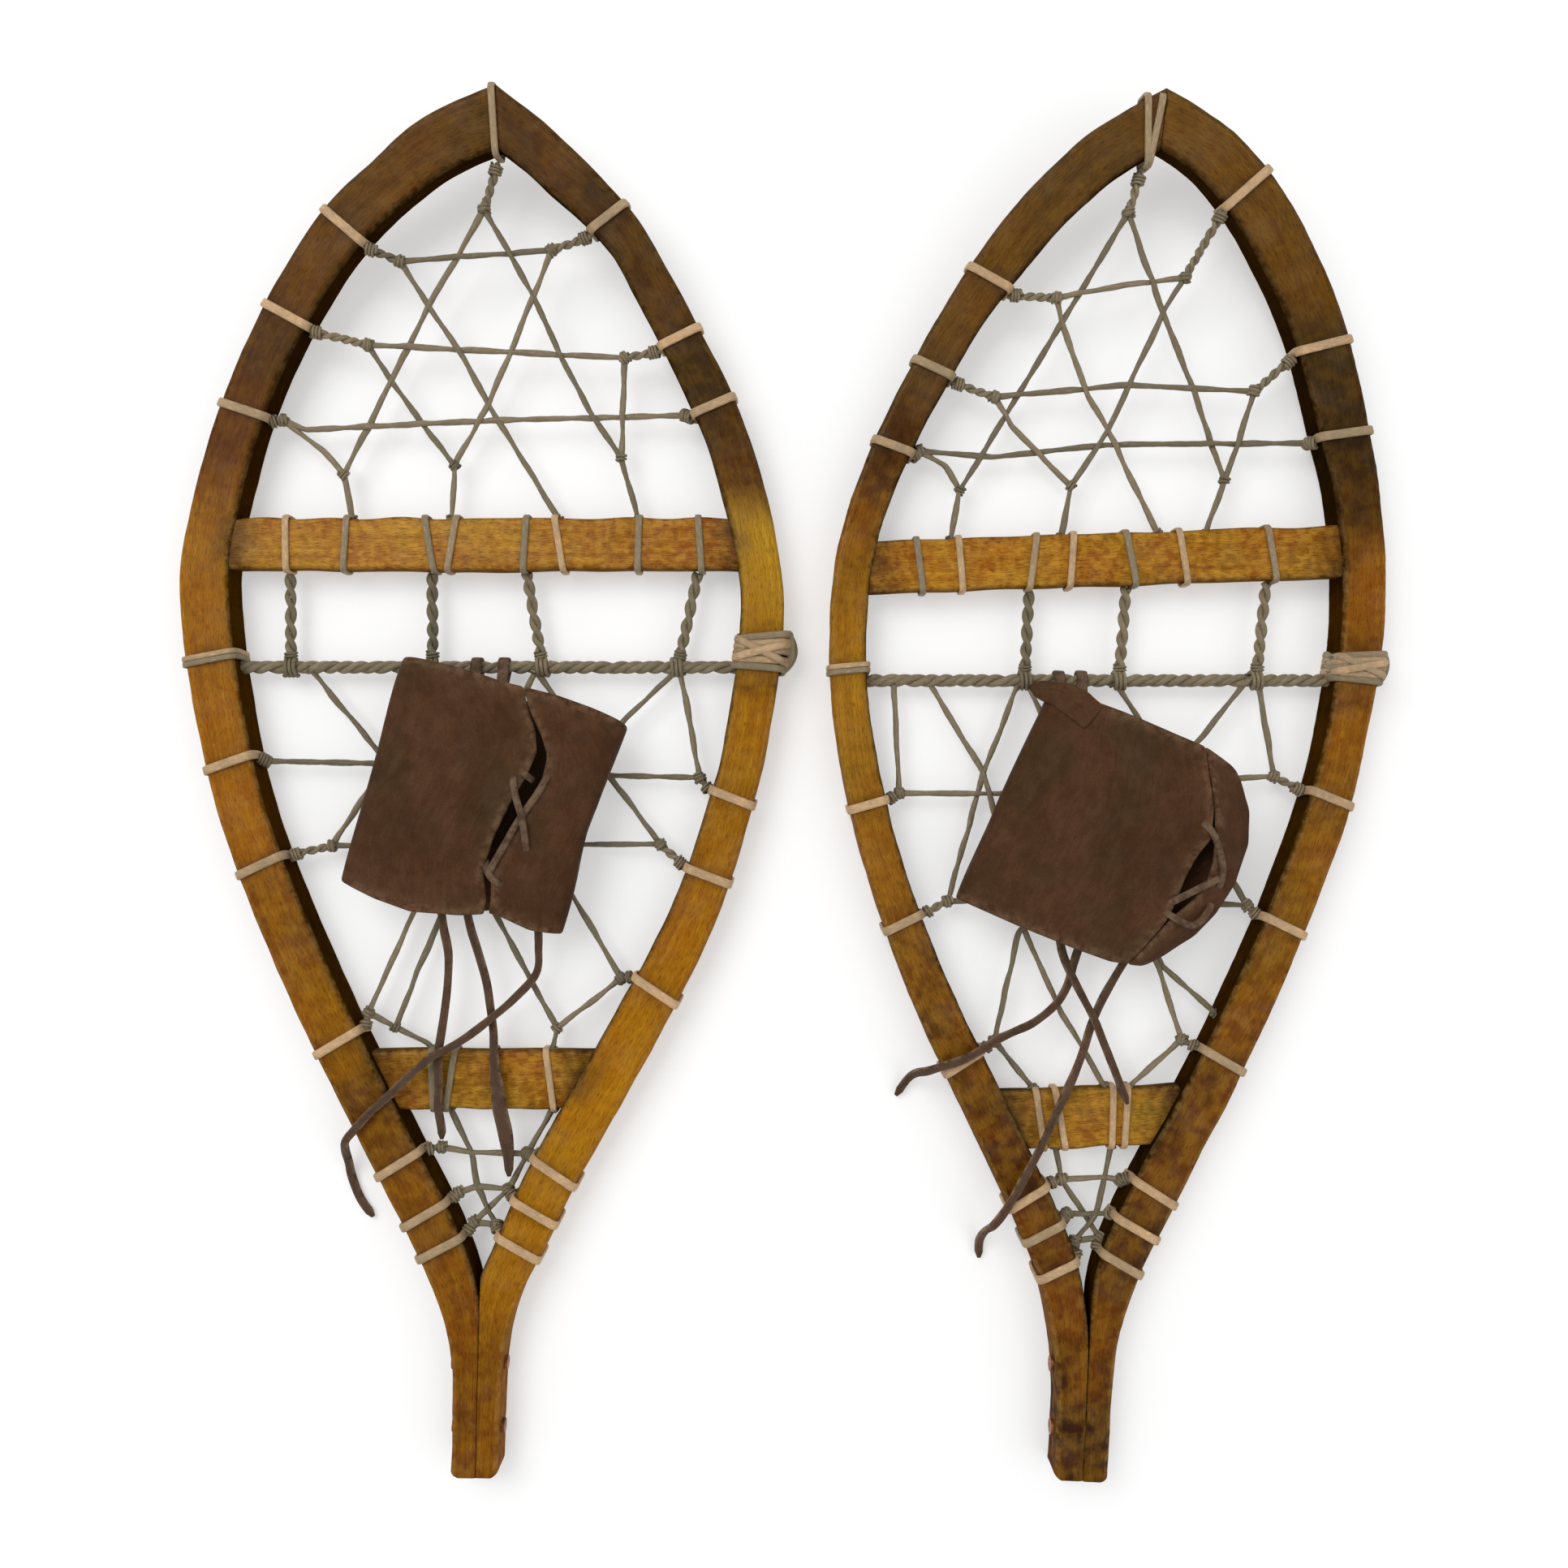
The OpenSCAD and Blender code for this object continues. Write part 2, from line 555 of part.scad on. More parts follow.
// The toe cord's other end: turns of cord side by side round the rail, swelling outwards.
module toe_cord_knot(s) {
    color(RAWHIDE)
        place(s)
            for (v = KNOT_V[s]) {
                rail_ring(s, 1, v, lace_thickness, knot_breadth);
                at_rail(s, 1, v)
                    translate([-width(s, 1, v) / 2 - lace_thickness - knot_swell,
                               -knot_breadth / 2, knot_low_z])
                        cube([knot_swell + lace_thickness / 2, knot_breadth,
                              knot_high_z - knot_low_z]);
            }
}

// Doubled stays from the toe bar to the toe cord, wrapped round the cord.
module stays(s) {
    color(RAWHIDE)
        place(s)
            difference() {
                for (u = STAYS[s]) {
                    top = TOE_BAR[s][0] + u[0] * tan(TOE_BAR[s][1]) - toe_bar_width / 2;
                    foot = TOE_CORD_V[s] - u[1] * tan(TURN[s]);
                    strand([u[0], top - lace_thickness - 4 * wrap_play, toe_cord_z + ridge],
                        [u[1], foot, toe_cord_z], stay_diameter);
                    translate([u[1] - stay_wrap_width / 2, foot, toe_cord_z])
                        rotate([0, 90, -TURN[s]])
                            cylinder(h = stay_wrap_width, r = stay_wrap_radius, $fn = 48);
                }
                toe_cord_rod(s, toe_cord_diameter / 2);
            }
}

// The frame of a sleeve: x across it, y along it towards the toe, z up from its underside.
module at_sleeve(s)
    translate([SLEEVE_AT[s][0], SLEEVE_AT[s][1], sleeve_base_z])
        rotate([0, 0, SLEEVE_TURN[s]])
            children();

module stadium(w, h) {
    translate([-(w - h) / 2, -h / 2]) square([w - h, h]);
    for (side = [-1, 1]) translate([side * (w - h) / 2, 0]) circle(d = h, $fn = 48);
}

// A flattened tube of leather, open at both ends and along a laced slit in its top.
module sleeve(s) {
    slit = SLEEVE_SLIT[s];
    inner = sleeve_height - 2 * leather_thickness;
    color(LEATHER)
        place(s)
            at_sleeve(s)
                difference() {
                    translate([0, sleeve_length / 2, sleeve_height / 2])
                        rotate([90, 0, 0])
                            linear_extrude(height = sleeve_length)
                                difference() {
                                    stadium(sleeve_width, sleeve_height);
                                    stadium(sleeve_width - 2 * leather_thickness, inner);
                                }
                    translate([slit[0] - slit[1] / 2, slit[2], sleeve_height / 2])
                        cube([slit[1], slit[3] - slit[2], sleeve_height]);
                    translate([-sleeve_width, sleeve_length / 2 - mouth_lean, 0])
                        rotate([-atan(mouth_lean / sleeve_height), 0, 0])
                            translate([0, 0, -sleeve_height / 2])
                                cube([2 * sleeve_width, 2 * sleeve_height, 2 * sleeve_height]);
                }
}

// Crossed thongs that lace the slit, lying on the leather.
module sleeve_lace(s) {
    slit = SLEEVE_SLIT[s];
    top = sleeve_height + 3 / 8 * sleeve_lace_diameter;
    color(THONG)
        place(s)
            at_sleeve(s)
                for (y = LACE_CROSSES[s], side = [-1, 1])
                    strand(
                        [slit[0] - side * LACE_REACH[0], y - LACE_REACH[1], top + side * ridge],
                        [slit[0] + side * LACE_REACH[0], y + LACE_REACH[1], top + side * ridge],
                        sleeve_lace_diameter);
}

// Loops that turn on the toe cord, each on a tab under the mouth of the sleeve.
module toe_tie(s) {
    color(THONG)
        place(s)
            difference() {
                for (u = TIES[s]) {
                    v = TOE_CORD_V[s] - u * tan(TURN[s]);
                    translate([u - tie_width / 2, v, toe_cord_z])
                        rotate([0, 90, -TURN[s]])
                            cylinder(h = tie_width, r = tie_radius, $fn = 48);
                    translate([u - tie_width / 2, v - tab_length,
                               sleeve_base_z + tab_bite - tab_thickness])
                        cube([tie_width, tab_length, tab_thickness]);
                }
                toe_cord_rod(s, toe_cord_diameter / 2 + tie_play);
            }
}

// A round cord through its points: an eight-sided ring at each, joined by triangles.
module thong(s, route) {
    sides = 8;
    last = len(route) - 1;
    function along(i) = unit(route[min(i + 1, last)] - route[max(i - 1, 0)]);
    function sideways(i) = unit(cross(along(i), [0, 0, 1]));
    points = [
        for (i = [0 : last], k = [0 : sides - 1])
            let (a = 360 * k / sides)
            route[i] + thong_diameter / 2
                * (cos(a) * sideways(i) + sin(a) * cross(sideways(i), along(i)))];
    walls = [
        for (i = [0 : last - 1], k = [0 : sides - 1])
            let (a = i * sides + k, b = i * sides + (k + 1) % sides)
            each [[a, b, b + sides], [a, b + sides, a + sides]]];
    ends = [[for (k = [0 : sides - 1]) sides - 1 - k],
            [for (k = [0 : sides - 1]) last * sides + k]];
    color(THONG) place(s) polyhedron(points, concat(walls, ends));
}

rail(LEFT, -1);  // left_outer_rail
rail(LEFT, 1);  // left_inner_rail
toe_bar(LEFT);  // left_toe_bar
heel_bar(LEFT);  // left_heel_bar
tail_rivets(LEFT);  // left_tail_rivets
tip_lashing(LEFT);  // left_tip_lashing
toe_lacing(LEFT);  // left_toe_lacing
toe_hitches(LEFT);  // left_toe_hitches
toe_bar_wraps(LEFT);  // left_toe_bar_wraps
stays(LEFT);  // left_stays
toe_cord(LEFT);  // left_toe_cord
toe_cord_knot(LEFT);  // left_toe_cord_knot
body_lacing(LEFT);  // left_body_lacing
body_hitches(LEFT);  // left_body_hitches
heel_bar_wraps(LEFT);  // left_heel_bar_wraps
tail_lacing(LEFT);  // left_tail_lacing
tail_hitches(LEFT);  // left_tail_hitches
sleeve(LEFT);  // left_sleeve
sleeve_lace(LEFT);  // left_sleeve_lace
toe_tie(LEFT);  // left_toe_tie
thong(LEFT, LEFT_LONG_THONG);  // left_long_thong
thong(LEFT, LEFT_WIDE_THONG);  // left_wide_thong
thong(LEFT, LEFT_SHORT_THONG);  // left_short_thong
rail(RIGHT, 1);  // right_outer_rail
rail(RIGHT, -1);  // right_inner_rail
toe_bar(RIGHT);  // right_toe_bar
heel_bar(RIGHT);  // right_heel_bar
tail_rivets(RIGHT);  // right_tail_rivets
tip_lashing(RIGHT);  // right_tip_lashing
toe_lacing(RIGHT);  // right_toe_lacing
toe_hitches(RIGHT);  // right_toe_hitches
toe_bar_wraps(RIGHT);  // right_toe_bar_wraps
stays(RIGHT);  // right_stays
toe_cord(RIGHT);  // right_toe_cord
toe_cord_knot(RIGHT);  // right_toe_cord_knot
body_lacing(RIGHT);  // right_body_lacing
body_hitches(RIGHT);  // right_body_hitches
heel_bar_wraps(RIGHT);  // right_heel_bar_wraps
tail_lacing(RIGHT);  // right_tail_lacing
tail_hitches(RIGHT);  // right_tail_hitches
sleeve(RIGHT);  // right_sleeve
sleeve_lace(RIGHT);  // right_sleeve_lace
toe_tie(RIGHT);  // right_toe_tie
thong(RIGHT, RIGHT_LONG_THONG);  // right_long_thong
thong(RIGHT, RIGHT_SIDE_THONG);  // right_side_thong
thong(RIGHT, RIGHT_SHORT_THONG);  // right_short_thong
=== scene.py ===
"""Pair of small wooden snowshoes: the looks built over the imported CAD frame.

Everything is in metres in the shared frame. A shoe's own frame has its origin at the
tail's end, u across and v towards the toe, and place() carries it into the shared frame.
"""

import logging
import math
from dataclasses import dataclass, field
from enum import Enum
from typing import Iterable, Sequence

import bpy
import numpy as np
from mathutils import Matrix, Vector


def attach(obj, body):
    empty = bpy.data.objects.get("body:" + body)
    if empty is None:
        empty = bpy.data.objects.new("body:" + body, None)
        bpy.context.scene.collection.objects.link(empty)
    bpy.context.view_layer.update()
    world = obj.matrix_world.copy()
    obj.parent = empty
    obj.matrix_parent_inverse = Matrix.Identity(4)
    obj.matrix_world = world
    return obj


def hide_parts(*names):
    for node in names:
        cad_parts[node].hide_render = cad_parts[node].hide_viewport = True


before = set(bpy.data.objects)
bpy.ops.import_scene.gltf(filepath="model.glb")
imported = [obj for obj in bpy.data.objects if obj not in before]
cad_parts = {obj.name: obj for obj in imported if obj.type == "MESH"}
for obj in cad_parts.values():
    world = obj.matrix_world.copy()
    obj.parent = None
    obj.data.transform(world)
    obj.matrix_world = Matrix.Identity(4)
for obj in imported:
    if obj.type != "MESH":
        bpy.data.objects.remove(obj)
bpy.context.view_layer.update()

LOG = logging.getLogger("snowshoes")
MM = 0.001

# A shoe's length, where its underside starts to lift, and how far the tip has lifted.
SHOE_LENGTH = 0.6
LIFT_START = 0.395
TOE_LIFT = 0.028
# Height of a rail along the body and at the tip.
RAIL_HEIGHT = 0.019
TIP_HEIGHT = 0.015
# Height of the nets' middle over the rails' underside, and of the sleeves' underside.
NET_Z = 0.0095
SLEEVE_BASE_Z = 0.0145
# Thickness of the flat lace round the rails, and the gap that a wrap keeps to a bar.
LACE_THICKNESS = 0.0018
BAR_WRAP_GAP = 0.0007

Shade = tuple[int, int, int]


# ---------------------------------------------------------------- numbers and curves


def mm(rows: Sequence) -> np.ndarray:
    """Rows of millimetres as an array in metres.

    Args:
        rows: numbers, or rows of numbers, in millimetres.
    Returns:
        The same numbers in metres.
    """
    return np.array(rows, float) * MM


def unit(a: np.ndarray) -> np.ndarray:
    """Vectors divided by their lengths.

    Args:
        a: vectors along the last axis.
    Returns:
        Unit vectors of the same shape.
    """
    return a / np.maximum(np.linalg.norm(a, axis=-1, keepdims=True), 1e-12)


def smooth_curve(points: np.ndarray, steps: int) -> np.ndarray:
    """Catmull-Rom cubics through points: each stretch is the cubic that leaves and arrives
    along the chord of its neighbours.

    Args:
        points: (n, k) points.
        steps: points on each stretch.
    Returns:
        ((n - 1) * steps + 1, k) points.
    """
    p = np.vstack([points[:1], points, points[-1:]])
    a, b, c, d = (x[:, None, :] for x in (p[:-3], p[1:-2], p[2:-1], p[3:]))
    t = (np.arange(steps) / steps)[None, :, None]
    curve = 0.5 * (
        2 * b + (c - a) * t + (2 * a - 5 * b + 4 * c - d) * t**2 + (3 * b - a - 3 * c + d) * t**3
    )
    return np.vstack([curve.reshape(-1, points.shape[1]), points[-1:]])


def lengths(points: np.ndarray) -> np.ndarray:
    """Distance run along a line at each of its points.

    Args:
        points: (n, k) points.
    Returns:
        n distances, the first 0.
    """
    return np.concatenate([[0.0], np.cumsum(np.linalg.norm(np.diff(points, axis=0), axis=1))])


def at_lengths(points: np.ndarray, run: np.ndarray, where: np.ndarray) -> np.ndarray:
    """Values of a line, by straight interpolation, at chosen distances along it.

    Args:
        points: (n, k) values at the line's points.
        run: the n distances of those points.
        where: the distances asked for.
    Returns:
        (len(where), k) values.
    """
    return np.stack([np.interp(where, run, points[:, k]) for k in range(points.shape[1])], axis=1)


def evenly(points: np.ndarray, spacing: float, steps: int = 8) -> np.ndarray:
    """A smooth curve through points, with its own points at equal distances.

    Args:
        points: (n, k) points.
        spacing: the distance wanted between points.
        steps: how finely each stretch is first worked out.
    Returns:
        (m, k) points.
    """
    fine = smooth_curve(points, steps) if len(points) > 2 else points
    run = lengths(fine)
    count = max(int(math.ceil(run[-1] / spacing)), 2)
    return at_lengths(fine, run, np.linspace(0, run[-1], count + 1))


def ripple(points: np.ndarray, wavelength: float, seed: int) -> np.ndarray:
    """Smooth unevenness from -1 to 1: the mean of six plane waves of that wavelength in
    seeded directions and phases.

    Args:
        points: (..., k) places.
        wavelength: the waves' usual length.
        seed: picks the directions and phases.
    Returns:
        One value for each place.
    """
    rng = np.random.default_rng(seed)
    waves = unit(rng.normal(size=(6, points.shape[-1]))) * (2 * math.pi / wavelength)
    waves *= rng.uniform(0.6, 1.6, size=(6, 1))
    phase = rng.uniform(0, 2 * math.pi, 6)
    return np.sin(points @ waves.T + phase).mean(axis=-1) * 1.6


def ease(x: np.ndarray, low: float, high: float) -> np.ndarray:
    """Smooth step: 0 below low, 1 above high, and 3t^2 - 2t^3 between them.

    Args:
        x: values.
        low: where it leaves 0.
        high: where it reaches 1.
    Returns:
        The step at each value.
    """
    t = np.clip((np.asarray(x, float) - low) / (high - low), 0, 1)
    return t * t * (3 - 2 * t)


def bump(x: np.ndarray, middle: float, reach: float) -> np.ndarray:
    """A bell of height 1: exp(-((x - middle) / reach)^2).

    Args:
        x: values.
        middle: where the bell peaks.
        reach: its half width.
    Returns:
        The bell at each value.
    """
    return np.exp(-(((np.asarray(x, float) - middle) / reach) ** 2))


def rise(v: np.ndarray) -> np.ndarray:
    """How far the underside has risen at v: a parabola from the start of the lift to the tip."""
    return TOE_LIFT * (np.maximum(v - LIFT_START, 0) / (SHOE_LENGTH - LIFT_START)) ** 2


def lift_slope(v: np.ndarray) -> np.ndarray:
    """Slope of the underside at v: that parabola's own rate of rise."""
    return 2 * TOE_LIFT * np.maximum(v - LIFT_START, 0) / (SHOE_LENGTH - LIFT_START) ** 2


def lean_back(v: np.ndarray, under_top: np.ndarray) -> np.ndarray:
    """How far forward a point lies for being that far under the top: the slope times that depth."""
    return lift_slope(v) * under_top


def rail_height(v: np.ndarray) -> np.ndarray:
    """Height of a rail at v: even along the body, then thinner in a straight line to the tip."""
    t = np.clip((v - LIFT_START) / (SHOE_LENGTH - LIFT_START), 0, 1)
    return RAIL_HEIGHT - (RAIL_HEIGHT - TIP_HEIGHT) * t


def headings(path: np.ndarray, loop: bool = False) -> np.ndarray:
    """Directions along a line: at each point from the one before it to the one after it.

    Args:
        path: (n, k) points.
        loop: whether the line closes on itself.
    Returns:
        (n, k) unit vectors.
    """
    before, after = (path[-1:], path[:1]) if loop else (path[:1], path[-1:])
    around = np.vstack([before, path, after])
    return unit(around[2:] - around[:-2])


def turned(points: np.ndarray, degrees: float) -> np.ndarray:
    """Points turned about z.

    Args:
        points: (..., 3) points.
        degrees: how far, anticlockwise from above.
    Returns:
        The turned points.
    """
    c, s = math.cos(math.radians(degrees)), math.sin(math.radians(degrees))
    return points @ np.array([[c, s, 0], [-s, c, 0], [0, 0, 1]])


# ---------------------------------------------------------------- surfaces

TINT, ALONG, TONE = "Tint", "Along", "tone"


def linear(shade: Sequence[float]) -> np.ndarray:
    """Display shades of 0 to 255 as linear light: c/12.92 in the dark and
    ((c + 0.055)/1.055)^2.4 above it.

    Args:
        shade: red, green and blue, or rows of them.
    Returns:
        The linear values, 0 to 1.
    """
    c = np.array(shade, float) / 255
    return np.where(c <= 0.04045, c / 12.92, ((c + 0.055) / 1.055) ** 2.4)


def shade_along(stops: Sequence[tuple[float, Shade]], v: np.ndarray) -> np.ndarray:
    """Colours at v by straight interpolation in linear light between stops.

    Args:
        stops: [v in millimetres, display shade].
        v: where, in metres.
    Returns:
        (..., 3) linear colours.
    """
    where = mm([s[0] for s in stops])
    order = np.argsort(where)
    light = linear([s[1] for s in stops])[order]
    return np.stack([np.interp(v, where[order], light[:, k]) for k in range(3)], axis=-1)


@dataclass
class Shell:
    """One closed skin: rings of points along it, closed round each ring and either capped
    at both ends or joined end to end.

    Attributes:
        rings: (n, m, 3) points, m round each of n rings.
        loop: whether the last ring joins the first.
        marks: values at the rings' points, by name.
        tint: the colour at the rings' points, if it has its own.
    """

    rings: np.ndarray
    loop: bool = False
    marks: dict[str, np.ndarray] = field(default_factory=dict)
    tint: np.ndarray | None = None

    def capped(self, values: np.ndarray) -> np.ndarray:
        """Rows of values at the rings' points, then their means round the two ends where
        the shell is capped.

        Args:
            values: (n, m, k) values.
        Returns:
            (points, k) values.
        """
        flat = values.reshape(-1, values.shape[-1])
        return flat if self.loop else np.vstack([flat, values[0].mean(0), values[-1].mean(0)])

    def points(self) -> np.ndarray:
        """The place of each point."""
        return self.capped(self.rings)

    def tints(self) -> np.ndarray:
        """The linear colour at each point, white where the shell has none."""
        return self.capped(np.broadcast_to(1.0 if self.tint is None else self.tint, self.rings.shape))

    def mark(self, name: str) -> np.ndarray:
        """A mark's value at each point, 0 where the shell has no such mark.

        Args:
            name: the mark's name.
        Returns:
            One value for each point.
        """
        values = np.broadcast_to(self.marks.get(name, 0.0), self.rings.shape[:2])
        return self.capped(values[..., None].astype(float))[:, 0]

    def corners(self) -> tuple[np.ndarray, np.ndarray, np.ndarray]:
        """Faces of the grid: a square from each point to the next ring and the next point
        round, and a fan at each end.

        Returns:
            The corner indices, each face's number of corners, and each corner's [along,
            round] in metres.
        """
        n, m = self.rings.shape[:2]
        i, j = np.meshgrid(np.arange(n if self.loop else n - 1), np.arange(m), indexing="ij")
        i, j = i.ravel(), j.ravel()
        after, beside = (i + 1) % n, (j + 1) % m
        quads = np.stack([i * m + j, after * m + j, after * m + beside, i * m + beside], axis=1)
        centre = self.rings.mean(axis=1)
        run = lengths(np.vstack([centre, centre[:1]]) if self.loop else centre)
        run = np.concatenate([run, run[-1:]])
        ring = self.rings[n // 2]
        turn = lengths(np.vstack([ring, ring[:1]]))
        uv = np.stack(
            [
                np.stack([run[i], run[i + 1], run[i + 1], run[i]], axis=1),
                np.stack([turn[j], turn[j], turn[j + 1], turn[j + 1]], axis=1),
            ],
            axis=2,
        )
        a, b, c, d = (self.rings.reshape(-1, 3)[quads[:, k]] for k in range(4))
        volume = (a * np.cross(b, c)).sum() + (a * np.cross(c, d)).sum()
        k, around = np.arange(m), (np.arange(m) + 1) % m
        starts = np.stack([np.full(m, n * m), k, around], axis=1)
        ends = np.stack([np.full(m, n * m + 1), (n - 1) * m + around, (n - 1) * m + k], axis=1)
        if not self.loop:
            first, last = self.rings[0].mean(0), self.rings[-1].mean(0)
            volume += (first * np.cross(self.rings[0], self.rings[0][around])).sum()
            volume += (last * np.cross(self.rings[-1][around], self.rings[-1])).sum()
        fans = np.zeros((0, 3), int) if self.loop else np.vstack([starts, ends])
        fan_uv = np.zeros((len(fans), 3, 2))
        if len(fans):
            fan_uv[:m, :, 0], fan_uv[m:, :, 0] = run[0], run[n - 1]
            fan_uv[:, 0, 1] = turn[-1] / 2
            fan_uv[:, 1, 1], fan_uv[:, 2, 1] = np.tile(turn[:-1], 2), np.tile(turn[1:], 2)
        if volume < 0:
            quads, uv = quads[:, ::-1], uv[:, ::-1]
            fans, fan_uv = fans[:, ::-1], fan_uv[:, ::-1]
        return (
            np.concatenate([quads.ravel(), fans.ravel()]),
            np.concatenate([np.full(len(quads), 4), np.full(len(fans), 3)]),
            np.concatenate([uv.reshape(-1, 2), fan_uv.reshape(-1, 2)]),
        )


def set_map(mesh: bpy.types.Mesh, uv: np.ndarray) -> None:
    """Gives a mesh the map called Along, with one place for each corner of each face."""
    mesh.uv_layers.new(name=ALONG).data.foreach_set("uv", uv.astype(np.float32).ravel())


def set_mark(mesh: bpy.types.Mesh, name: str, values: np.ndarray) -> None:
    """Gives a mesh a mark: one value for each point."""
    mark = mesh.attributes.new(name, "FLOAT", "POINT")
    mark.data.foreach_set("value", values.astype(np.float32).ravel())


def add_object(name: str, data: bpy.types.ID) -> bpy.types.Object:
    """A new object of that data in the scene.

    Args:
        name: its name.
        data: its mesh, camera or light.
    Returns:
        The object, at the origin.
    """
    made = bpy.data.objects.new(name, data)
    bpy.context.scene.collection.objects.link(made)
    return made


def make_piece(name: str, shells: Sequence[Shell], marks: Sequence[str] = ()) -> bpy.types.Object:
    """One object from its shells, with a UV map called Along and its marks as attributes.

    Args:
        name: the piece's name.
        shells: its skins, already in the shared frame.
        marks: the names of the marks it keeps.
    Returns:
        The new object, at the origin.
    """
    points = [s.points() for s in shells]
    starts = np.concatenate([[0], np.cumsum([len(p) for p in points])])
    parts = [s.corners() for s in shells]
    corners = np.concatenate([c + starts[k] for k, (c, _, _) in enumerate(parts)])
    sides = np.concatenate([n for _, n, _ in parts])
    uv = np.concatenate([u for _, _, u in parts])
    mesh = bpy.data.meshes.new(name)
    mesh.vertices.add(int(starts[-1]))
    mesh.vertices.foreach_set("co", np.vstack(points).astype(np.float32).ravel())
    mesh.loops.add(len(corners))
    mesh.loops.foreach_set("vertex_index", corners.astype(np.int32))
    mesh.polygons.add(len(sides))
    first = np.concatenate([[0], np.cumsum(sides)[:-1]]).astype(np.int32)
    mesh.polygons.foreach_set("loop_start", first)
    mesh.polygons.foreach_set("use_smooth", np.ones(len(sides), bool))
    set_map(mesh, uv)
    for mark in marks:
        set_mark(mesh, mark, np.concatenate([s.mark(mark) for s in shells]))
    if any(s.tint is not None for s in shells):
        tints = np.vstack([s.tints() for s in shells])
        tints = np.hstack([tints, np.ones((len(tints), 1))])
        colours = mesh.color_attributes.new(TINT, "FLOAT_COLOR", "POINT")
        colours.data.foreach_set("color", tints.astype(np.float32).ravel())
    mesh.update(calc_edges=True)
    mesh.validate()
    return add_object(name, mesh)


def make_sheet(name: str, grid: np.ndarray, marks: dict[str, np.ndarray]) -> bpy.types.Object:
    """An open sheet: one square between each four neighbours of a grid, wound so that its
    faces point away from its middle.

    Args:
        name: the piece's name.
        grid: (n, m, 3) points in the shared frame.
        marks: one value for each point, by name.
    Returns:
        The new object, at the origin.
    """
    n, m = grid.shape[:2]
    i, j = (k.ravel() for k in np.mgrid[0 : n - 1, 0 : m - 1])
    quads = np.stack([i * m + j, i * m + j + 1, (i + 1) * m + j + 1, (i + 1) * m + j], axis=1)
    flat = grid.reshape(-1, 3)
    corner = flat[quads]
    normal = np.cross(corner[:, 1] - corner[:, 0], corner[:, 3] - corner[:, 0])
    if (normal * (corner.mean(axis=1) - flat.mean(axis=0))).sum() < 0:
        quads = quads[:, ::-1]
    mesh = bpy.data.meshes.new(name)
    mesh.from_pydata(flat.tolist(), [], quads.tolist())
    run = lengths(grid[:, m // 2])
    turn = lengths(grid[n // 2])
    uv = np.stack(np.meshgrid(run, turn, indexing="ij"), axis=2).reshape(-1, 2)
    set_map(mesh, uv[quads.ravel()])
    mesh.polygons.foreach_set("use_smooth", np.ones(len(quads), bool))
    for mark, values in marks.items():
        set_mark(mesh, mark, values)
    mesh.update()
    return add_object(name, mesh)


def hand_over(piece: bpy.types.Object, body: str, node: str = "") -> bpy.types.Object:
    """Hides the CAD node that a piece stands for, if any, and hangs the piece on its body.

    Args:
        piece: the piece.
        body: the body that it rides on.
        node: the CAD node that it stands for, if any.
    Returns:
        The piece.
    """
    if node:
        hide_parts(node)
    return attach(piece, body)


def cord_shell(
    path: np.ndarray,
    width: float | np.ndarray,
    thickness: float | np.ndarray | None = None,
    reference: Sequence[float] = (0, 0, 1),
    twist: float = 0.0,
    sides: int = 10,
    square: float = 1.0,
    loop: bool = False,
    tone: float = 0.5,
) -> Shell:
    """A profile carried along a path. The profile is the superellipse
    (w/2 |cos a|^e, t/2 |sin a|^e) with the signs of cos and sin, laid across the path with
    its width square to the reference direction and turned by the twist as it goes.

    Args:
        path: (n, 3) points.
        width: across the path, one number or one for each point.
        thickness: the other way, equal to the width if left out.
        reference: the direction that the profile's thickness leans towards.
        twist: turns for each metre.
        sides: points round the profile.
        square: the exponent e; below 1 flattens the sides.
        loop: whether the path closes on itself.
        tone: the shade mark of the whole cord.
    Returns:
        The cord's shell.
    """
    n = len(path)
    along = headings(path, loop)
    up = np.broadcast_to(np.array(reference, float), path.shape)
    side = unit(np.cross(along, up))
    up = np.cross(side, along)
    turn = 2 * math.pi * twist * lengths(path)[:, None]
    a = np.linspace(0, 2 * math.pi, sides, endpoint=False)[None, :]
    thickness = width if thickness is None else thickness
    w, t = (np.broadcast_to(np.asarray(size, float), (n,))[:, None] / 2 for size in (width, thickness))
    x = w * np.sign(np.cos(a)) * np.abs(np.cos(a)) ** square
    y = t * np.sign(np.sin(a)) * np.abs(np.sin(a)) ** square
    across = x * np.cos(turn) - y * np.sin(turn)
    over = x * np.sin(turn) + y * np.cos(turn)
    rings = path[:, None, :] + across[..., None] * side[:, None, :] + over[..., None] * up[:, None, :]
    return Shell(rings, loop, {TONE: np.full((n, sides), tone)})


@dataclass(frozen=True)
class Lay:
    """How strands are twisted together: how many, how thick one is, how far its middle is
    from the cord's, and the length of one full turn."""

    strands: int
    diameter: float
    radius: float
    pitch: float


NECK = Lay(2, 0.0021, 0.00095, 0.0085)
STAY = Lay(2, 0.0027, 0.0013, 0.014)
TOE_CORD = Lay(3, 0.003, 0.0014, 0.018)


